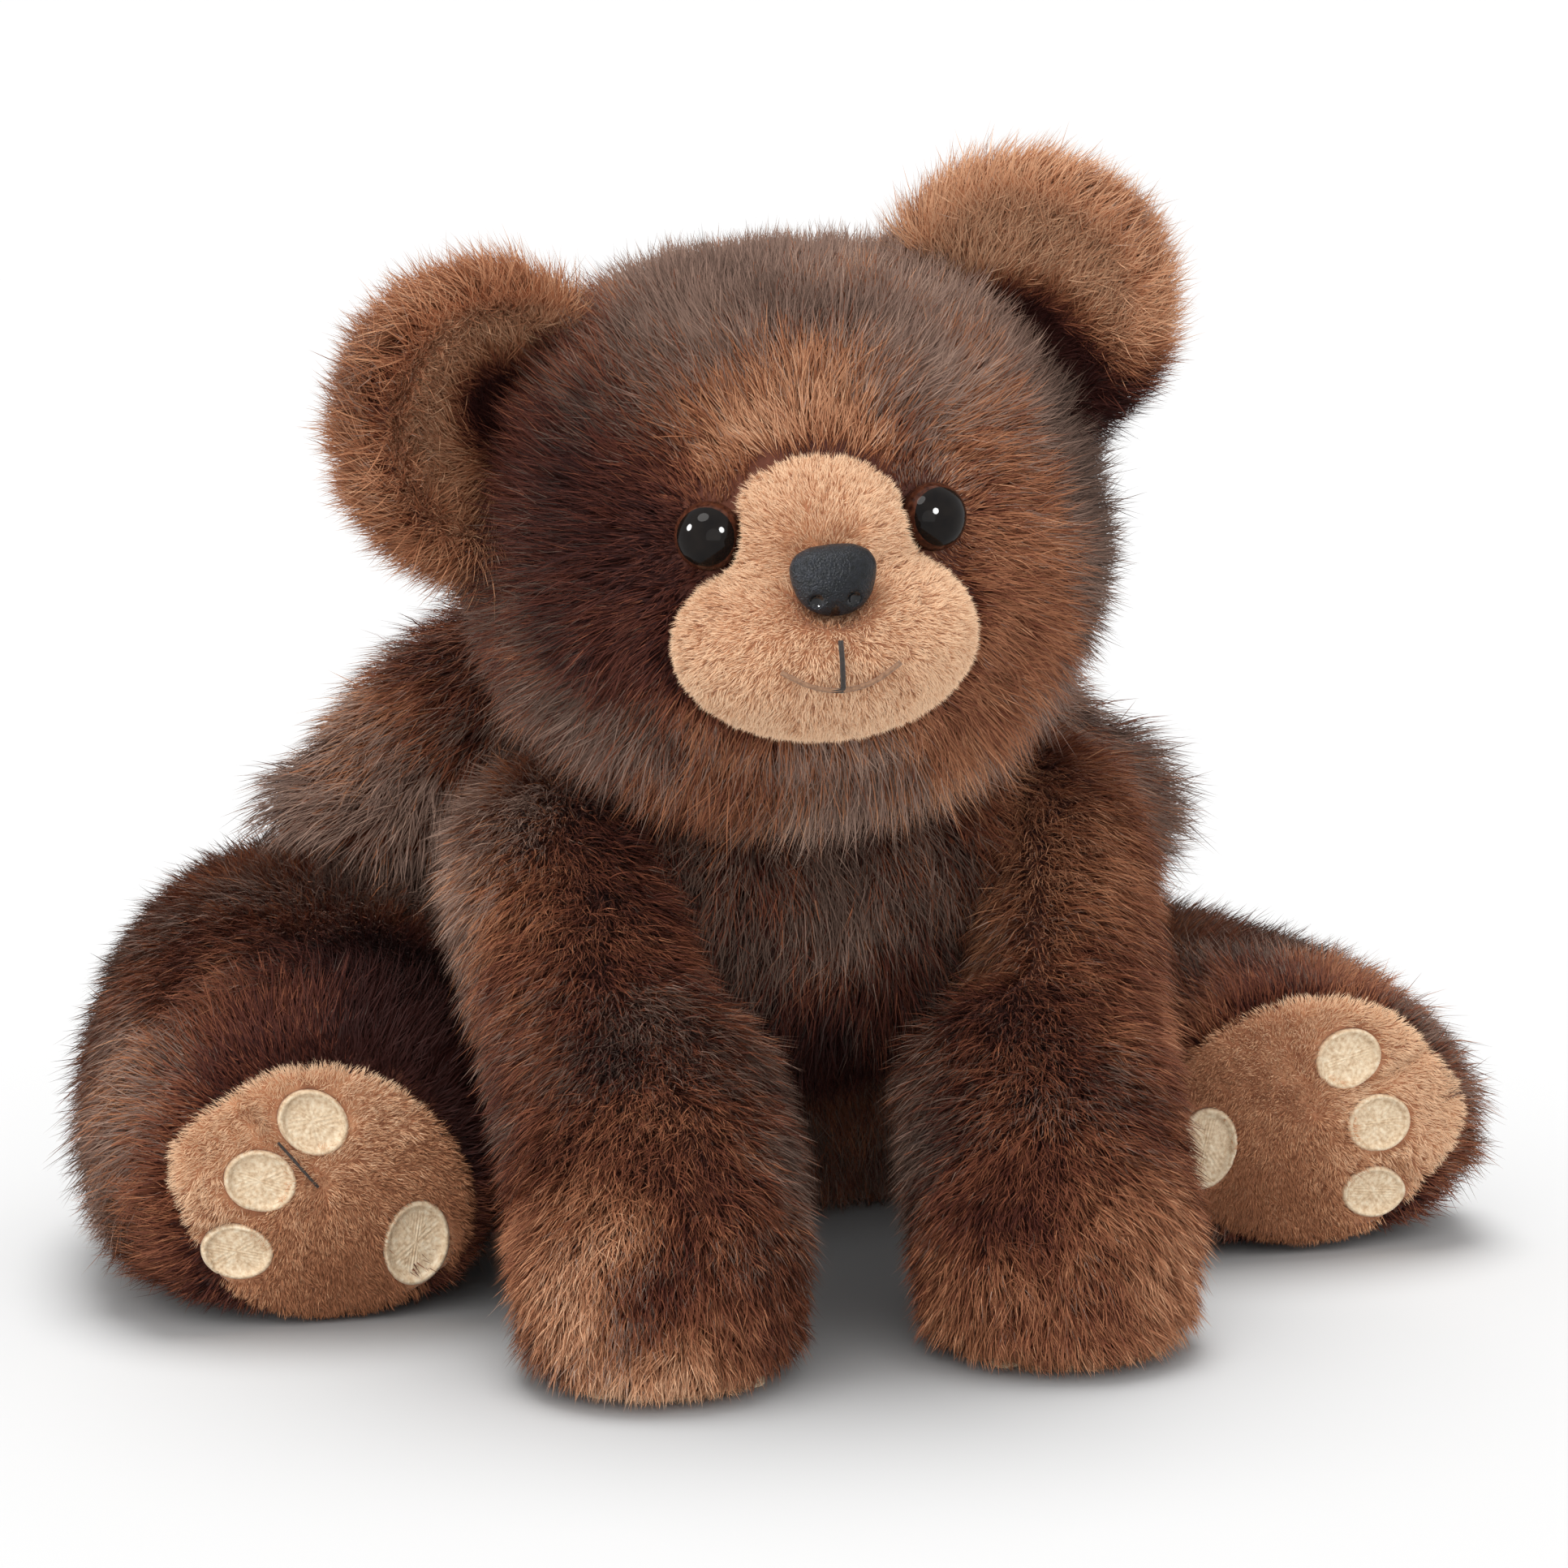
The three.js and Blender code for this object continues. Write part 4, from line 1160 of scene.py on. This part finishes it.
def plush_tones(shade, painted_light_slope=0.0, towards=(0.0, 0.0, 1.0), middle=(0.0, 0.0, 0.0)):
    """Tones of short plush with a painted light-to-shade slope: lighter by that slope for each 30 mm from the
    middle towards the lit side, and darker towards the shaded side.
    """

    def tone_of(rng, curve, group):
        roots = curve[:, 0]
        light = shade + painted_light_slope * ((roots - np.array(middle)) @ np.array(towards)) / 30
        light = light + 0.45 * (MOTTLE.layered(roots, 8.0) - 0.5)
        light = light + rng.normal(0, 0.05, group.max() + 1)[group] + rng.normal(0, 0.12, len(roots))
        root = pick(rng, light - 0.2, len(TAN))
        tip = pick(rng, light + 0.1, len(TAN))
        return np.stack([root, tip], 1)

    return tone_of


def make_muzzle():
    """The muzzle of short plush, with the end of its chin seam drawn in."""
    obj = soft_copy("muzzle_plush", ["muzzle"], 1.5, 8)
    points, normals = points_of(obj), normals_of(obj)
    notch = lengths((points - MUZZLE_NOTCH) * (1, 0.35, 1))
    set_points(obj, points - normals * (1.9 + 1.6 * (1 - ramp(notch, 0.5, 5.0)))[:, None])
    shade_smooth(obj)
    skin = skin_of(obj)
    nose = middle_of("nose")
    fields = even_fields(skin, unit(skin["points"] - nose) + np.array((0, 0.2, -0.25)), PLUSH)
    fields["density"] *= 1 - (skin["normals"] @ FACE_FRONT < -0.5)
    clear_of(fields, skin, ["nose"], 0.3)
    rng = np.random.default_rng(300)
    # Painted light on the muzzle: lighter towards the bear's left and downwards, darker towards its right and
    # top.
    tones = plush_tones(0.90, 0.19, (0.6, 0.0, -0.2), middle_of("muzzle"))
    add_pile("muzzle_pile", "head", rng, skin, fields, PLUSH, PLUSH_STEPS, tones, TAN_TONES)
    finish_piece(obj, "head", ["muzzle"], [PLUSH_BASE])


def make_pad(name, body, node, patches, number, density, puff):
    """A sole or paw pad of short plush, puffed between its patches and creased between its toes."""
    obj = soft_copy(name, [node], 1.3, 3)
    shade_smooth(obj)
    middle, axes, half = frame_of(node)
    out = axes[2] * (1 if axes[2] @ (middle - middle_of(f"{body}_skin")) > 0 else -1)
    skin = skin_of(obj)
    facing = skin["normals"] @ out
    points = skin["points"]
    if not puff:
        points[:, 2] = np.maximum(points[:, 2], UNDER_PAW)
    rise = puff * (1 - ramp(lengths((points - middle) @ axes[:2].T / half[:2]), 0.1, 1.0))
    toes = [middle_of(patch) for patch in patches[:3]]
    for one, other in zip(toes, toes[1:]):
        between = (one + other) / 2
        outwards = unit(between - middle)
        away = square_to(points - between, out)
        past = away @ outwards
        beside = lengths(square_to(away, outwards))
        rise -= 0.8 * puff * (1 - ramp(beside, 0.4, 3.0)) * ramp(past, -8, 2)
    set_points(obj, points + out * (rise * ramp(facing, 0.0, 0.6))[:, None])
    skin = skin_of(obj)
    pile = dict(PLUSH, density=density)
    fields = even_fields(skin, unit(skin["points"] - middle) + np.array((0, 0, -0.5)), pile)
    fields["density"] *= facing > -0.3
    clear_of(fields, skin, patches, 1.2)
    rng = np.random.default_rng(400 + number)
    heel = middle_of(patches[3])
    # Painted light on the pad: lighter towards its toes and upwards, darker towards its heel and downwards.
    tones = plush_tones(0.50, 0.54, unit(middle - heel) + np.array((0, 0, 0.7)), middle)
    add_pile(f"{name}_pile", body, rng, skin, fields, pile, PLUSH_STEPS, tones, TAN_TONES)
    finish_piece(obj, body, [node], [PLUSH_BASE])
    return tree_of(obj), out


def turned_faces(rings, spokes):
    """Faces of a closed shape that has a first point, rings of points round it, and a last point."""
    faces = []
    last = 1 + rings * spokes
    for j in range(spokes):
        k = (j + 1) % spokes
        faces.append((0, 1 + j, 1 + k))
        for a in range(1, last - spokes, spokes):
            faces.append((a + j, a + spokes + j, a + spokes + k, a + k))
        faces.append((last - spokes + j, last, last - spokes + k))
    return faces


# ---- Embroidered patches ----

RIM = 0.80  # where a patch's satin rim starts, from its middle
STITCH_ROW = 0.7
STITCH_LENGTH = 1.5


def embroidered_oval(name, body, node, tree, out, proud):
    """A raised satin rim round a filled oval of short stitches, on the pad's surface."""
    middle, axes, half = frame_of(node)
    long_axis, short_axis = axes[0], axes[1]
    rings, spokes = 16, 144
    verts = []

    def place(x, y, height):
        point = middle + long_axis * x + short_axis * y
        start = Vector(point + out * 12)
        hit = tree.ray_cast(start, Vector(-out), 30)[0]
        ground = np.array(hit) if hit is not None else point
        return ground + out * height * proud

    def height_at(r, angle):
        """Stitches over the oval: a satin rim, and rows of small stitches within."""
        if r > RIM:
            across = (r - RIM) / (1 - RIM)
            ridge = 0.5 + 0.5 * math.cos(angle * spokes / 2)
            return 0.9 + 1.0 * math.sin(math.pi * across) ** 0.7 + 0.22 * ridge
        x, y = r * math.cos(angle) * half[0], r * math.sin(angle) * half[1]
        row = math.floor(y / STITCH_ROW)
        stitch = math.sin(x * 2 * math.pi / STITCH_LENGTH + row * math.pi)
        return 1.1 + 0.10 * stitch + 0.10 * math.cos(y * 2 * math.pi / STITCH_ROW)

    verts.append(place(0, 0, height_at(0, 0)))
    for i in range(1, rings + 1):
        r = i / rings
        for j in range(spokes):
            angle = 2 * math.pi * j / spokes
            x, y = r * half[0] * math.cos(angle), r * half[1] * math.sin(angle)
            verts.append(place(x, y, height_at(r, angle)))
    for j in range(spokes):
        angle = 2 * math.pi * j / spokes
        verts.append(place(half[0] * math.cos(angle), half[1] * math.sin(angle), 0.1))
    verts.append(place(0, 0, 0.1))
    for vert in verts:
        vert[2] = max(vert[2], FLOOR_CLEAR)
    obj = build_mesh(name, verts, turned_faces(rings + 1, spokes))
    finish_piece(obj, body, [node], [EMBROIDERY])


# ---- Eyes, nose and mouth ----


def turned_dome(name, middle, axis, profile, materials, split):
    """A solid turned about an axis from (radius, height) points, with its first material up to ring split."""
    across = unit(np.cross(axis, (0.0, 0.0, 1.0)))
    up = np.cross(axis, across)
    spokes = 64
    verts = [middle + axis * profile[0][1]]
    for radius, height in profile[1:-1]:
        for j in range(spokes):
            angle = 2 * math.pi * j / spokes
            verts.append(middle + axis * height + radius * (across * math.cos(angle) + up * math.sin(angle)))
    verts.append(middle + axis * profile[-1][1])
    rings = len(profile) - 2
    obj = build_mesh(name, verts, turned_faces(rings, spokes))
    marks = ([0] + [int(i >= split) for i in range(rings - 1)] + [1]) * spokes
    for material in materials:
        obj.data.materials.append(material)
    obj.data.polygons.foreach_set("material_index", marks)
    return obj


NOSE_HALF_WIDTH = 9.8
NOSE_HALF_HEIGHT = 8.3
NOSTRIL_ASIDE = 4.2
NOSTRIL_DROP = 3.9
NOSTRIL_DEPTH = 1.5
NOSTRIL_RADIUS = 2.1
PUPIL_SHARE = 0.62  # how much of an eye's curve is pupil
THREAD_START = 3.0  # past the toes' middle line
THREAD_LENGTH = 14.0


def make_eye(side):
    """A polished dome with a black pupil and a brown rim."""
    foot, axis, radius = eye_frame(side)
    count = 22
    profile = []
    for i in range(count + 1):
        angle = math.pi / 2 * i / count
        profile.append((radius * math.sin(angle), EYE_RISE * math.cos(angle)))
    profile += [(radius * 0.97, -2.0), (radius * 0.8, -2.2), (0, -2.2)]
    obj = turned_dome(f"{side}_eye_dome", foot, axis, profile, [PUPIL, IRIS], int(PUPIL_SHARE * count))
    finish_piece(obj, "head", [f"{side}_eye"])
    return obj


def make_nose():
    """A grained plastic nose with two glossy nostrils low on its face."""
    obj = soft_copy("nose_button", ["nose"], 0.55, 10)
    front, across, up = FACE_FRONT, FACE_LEFT, FACE_UP
    middle = middle_of("nose")
    points = points_of(obj)
    u = (points - middle) @ across / NOSE_HALF_WIDTH
    v = (points - middle) @ up / NOSE_HALF_HEIGHT
    round_radius = np.hypot(u, v)
    square_radius = np.maximum((np.abs(u) ** 2.5 + np.abs(v) ** 2.5) ** 0.4, 1e-6)
    grow = (round_radius / square_radius - 1) * ramp(round_radius, 0.2, 0.7)
    points += (NOSE_HALF_WIDTH * u * grow)[:, None] * across + (NOSE_HALF_HEIGHT * v * grow)[:, None] * up
    set_points(obj, points)
    normals = normals_of(obj)
    shift = np.zeros(len(points))
    for sign in (-1, 1):
        hole = middle + across * sign * NOSTRIL_ASIDE - up * NOSTRIL_DROP
        away = lengths(square_to(points - hole, front))
        shift += NOSTRIL_DEPTH * (1 - ramp(away, 0.6, NOSTRIL_RADIUS)) * ramp(normals @ front, 0.1, 0.5)
    crease = np.abs((points - middle) @ across)
    lower = ramp(-((points - middle) @ up), 3.5, 7.5)
    shift += 0.9 * lower * (1 - ramp(crease, 0.2, 1.6)) * ramp(normals @ front, 0.0, 0.4)
    set_points(obj, points - front * shift[:, None])
    obj.data.materials.append(NOSE)
    obj.data.materials.append(NOSTRIL)
    corners = np.array([list(polygon.vertices)[:3] for polygon in obj.data.polygons])
    glossy = shift[corners].mean(1) > 0.35
    obj.data.polygons.foreach_set("material_index", glossy.astype(np.int32))
    shade_smooth(obj)
    finish_piece(obj, "head", ["nose"])
    return obj


def make_mouth():
    """The stitch down from the nose in black thread, and the smile line beside it in tan."""
    obj = copy_nodes("mouth_stitches", ["mouth_thread"])
    shade_smooth(obj)
    points = points_of(obj)
    middle = middle_of("nose")
    obj.data.materials.append(BLACK_THREAD)
    obj.data.materials.append(TAN_THREAD)
    wide = []
    for polygon in obj.data.polygons:
        centre = points[list(polygon.vertices)].mean(0)
        wide.append(int(abs((centre - middle) @ FACE_LEFT) > 1.2))
    obj.data.polygons.foreach_set("material_index", wide)
    finish_piece(obj, "head", ["mouth_thread"])


def loose_thread(tree, out):
    """A stray dark thread across the bear's right sole, between its first and second toes."""
    sole = middle_of("right_sole")
    between = (middle_of("right_toe_patch_1") + middle_of("right_toe_patch_2")) / 2
    outwards = unit(between - sole)
    sides, count, radius = 8, 14, 0.35
    verts, faces = [], []
    for i in range(count + 1):
        along = THREAD_START - THREAD_LENGTH * i / count
        point = between + outwards * along
        hit = tree.ray_cast(Vector(point + out * 12), Vector(-out), 30)[0]
        point = np.array(hit if hit is not None else point) + out * 1.7
        around = np.cross(out, outwards)
        for j in range(sides):
            angle = 2 * math.pi * j / sides
            verts.append(point + radius * (out * math.cos(angle) + around * math.sin(angle)))
    for i in range(count):
        for j in range(sides):
            k = (j + 1) % sides
            faces.append((i * sides + j, i * sides + k, (i + 1) * sides + k, (i + 1) * sides + j))
    faces.append(tuple(range(sides))[::-1])
    faces.append(tuple(range(count * sides, (count + 1) * sides)))
    obj = build_mesh("right_foot_thread", verts, faces)
    finish_piece(obj, "right_leg", materials=[BLACK_THREAD])


# ---- What stays as the frame made it ----


def dress_frame():
    """Materials of the hidden parts: joints, washers and the weight bag."""
    for name, node in frame["nodes"].items():
        if any(word in name for word in ("washer", "disc", "ring", "bag")):
            node.data.materials.clear()
            node.data.materials.append(BAG if name == "pellet_bag" else JOINT)


# ---- Build ----

add_camera()
add_studio(add_floor())

FUR = strand_tones("fur_russet", RUSSET, 0.6, 0.08) + strand_tones("fur_grey", GREY, 0.6, 0.12)
TAN_TONES = strand_tones("plush_tan", TAN, 0.7, 0.15)
# Name, colour and roughness, then the shades of the mottle, its scale and detail, and the bumps.
BACKING = textured("pelt_backing", RUSSET[1], 0.95, RUSSET[:3], 45, 5, (900, 0.0004), Sheen_Weight=0.2)
PLUSH_BASE = textured("plush_backing", TAN[1], 0.95, TAN[:3], 160, 6, (1500, 0.0004), Sheen_Weight=0.4)
CREAM = ((0.58, 0.40, 0.24), (0.78, 0.60, 0.40), (0.90, 0.76, 0.56))
EMBROIDERY = textured(
    "embroidery_thread",
    (0.78, 0.61, 0.42),
    0.5,
    CREAM,
    900,
    3,
    (4200, 0.00012),
    Sheen_Weight=0.3,
    Sheen_Roughness=0.3,
)
SOFT_BLACK = ((0.008, 0.006, 0.005), (0.035, 0.022, 0.016))
BLACK_THREAD = textured(
    "black_thread", (0.012, 0.008, 0.007), 0.55, SOFT_BLACK, 1800, 3, (5000, 0.0001), Sheen_Weight=0.2
)
SEAM_TAN = ((0.20, 0.098, 0.05), (0.34, 0.185, 0.10))
TAN_THREAD = textured(
    "tan_thread", (0.27, 0.14, 0.072), 0.7, SEAM_TAN, 1600, 3, (5000, 0.0001), Sheen_Weight=0.3
)
NOSE_BLACK = ((0.003, 0.004, 0.005), (0.010, 0.012, 0.017))
NOSE_GRAIN = (1700, 0.00025)
NOSE = textured(
    "nose_plastic", (0.006, 0.007, 0.010), 0.3, NOSE_BLACK, 700, 2, NOSE_GRAIN, CELLS, Specular_IOR_Level=0.26
)
NOSTRIL_BLACK = ((0.003, 0.003, 0.004), (0.006, 0.006, 0.007))
NOSTRIL = textured(
    "nostril_gloss", (0.004, 0.004, 0.005), 0.08, NOSTRIL_BLACK, 500, 2, Specular_IOR_Level=0.4
)
PUPIL_BLACK = ((0.002, 0.0015, 0.0015), (0.004, 0.003, 0.0025))
PUPIL = textured("eye_pupil", (0.003, 0.002, 0.002), 0.05, PUPIL_BLACK, 300, 2, Specular_IOR_Level=0.13)
IRIS_BROWN = ((0.010, 0.003, 0.002), (0.045, 0.014, 0.007))
IRIS = textured("eye_iris", (0.03, 0.009, 0.005), 0.06, IRIS_BROWN, 900, 4, Specular_IOR_Level=0.13)
FIBRE = ((0.70, 0.69, 0.65), (0.90, 0.89, 0.86))
FLUFF = (500, 0.0012)
STUFFING = textured(
    "polyester_fibre", (0.85, 0.84, 0.80), 0.9, FIBRE, 120, 6, FLUFF, stretch=(2.5, 3), Sheen_Weight=0.5
)
COTTON = ((0.52, 0.48, 0.39), (0.72, 0.68, 0.58))
BAG = textured(
    "cotton_bag", (0.66, 0.62, 0.52), 0.85, COTTON, 700, 4, (1400, 0.0004), CELLS, Sheen_Weight=0.2
)
IVORY = ((0.69, 0.66, 0.58), (0.78, 0.75, 0.68))
JOINT = textured(
    "moulded_plastic", (0.74, 0.71, 0.63), 0.42, IVORY, 140, 3, (1200, 0.00008), Subsurface_Weight=0.1
)

make_bodies()
for number, side in enumerate(SIDES):
    make_ear(side, number)
add_catch_lights([make_eye("left"), make_eye("right")], make_nose())
make_muzzle()
make_mouth()
for number, side in enumerate(SIDES):
    leg, arm = f"{side}_leg", f"{side}_arm"
    toes = [f"{side}_toe_patch_{i}" for i in (1, 2, 3)] + [f"{side}_heel_patch"]
    tree, out = make_pad(f"{side}_foot_sole", leg, f"{side}_sole", toes, number, PLUSH["density"], SOLE_PUFF)
    for node in toes:
        embroidered_oval(f"{node}_stitched", leg, node, tree, out, 1.0)
    if side == "right":
        loose_thread(tree, out)
    toes = [f"{side}_paw_toe_patch_{i}" for i in (1, 2, 3)] + [f"{side}_palm_patch"]
    tree, out = make_pad(f"{side}_paw_plush", arm, f"{side}_paw_pad", toes, number + 2, PAW_DENSITY, 0.0)
    for node in toes:
        embroidered_oval(f"{node}_stitched", arm, node, tree, out, 0.7)
dress_frame()
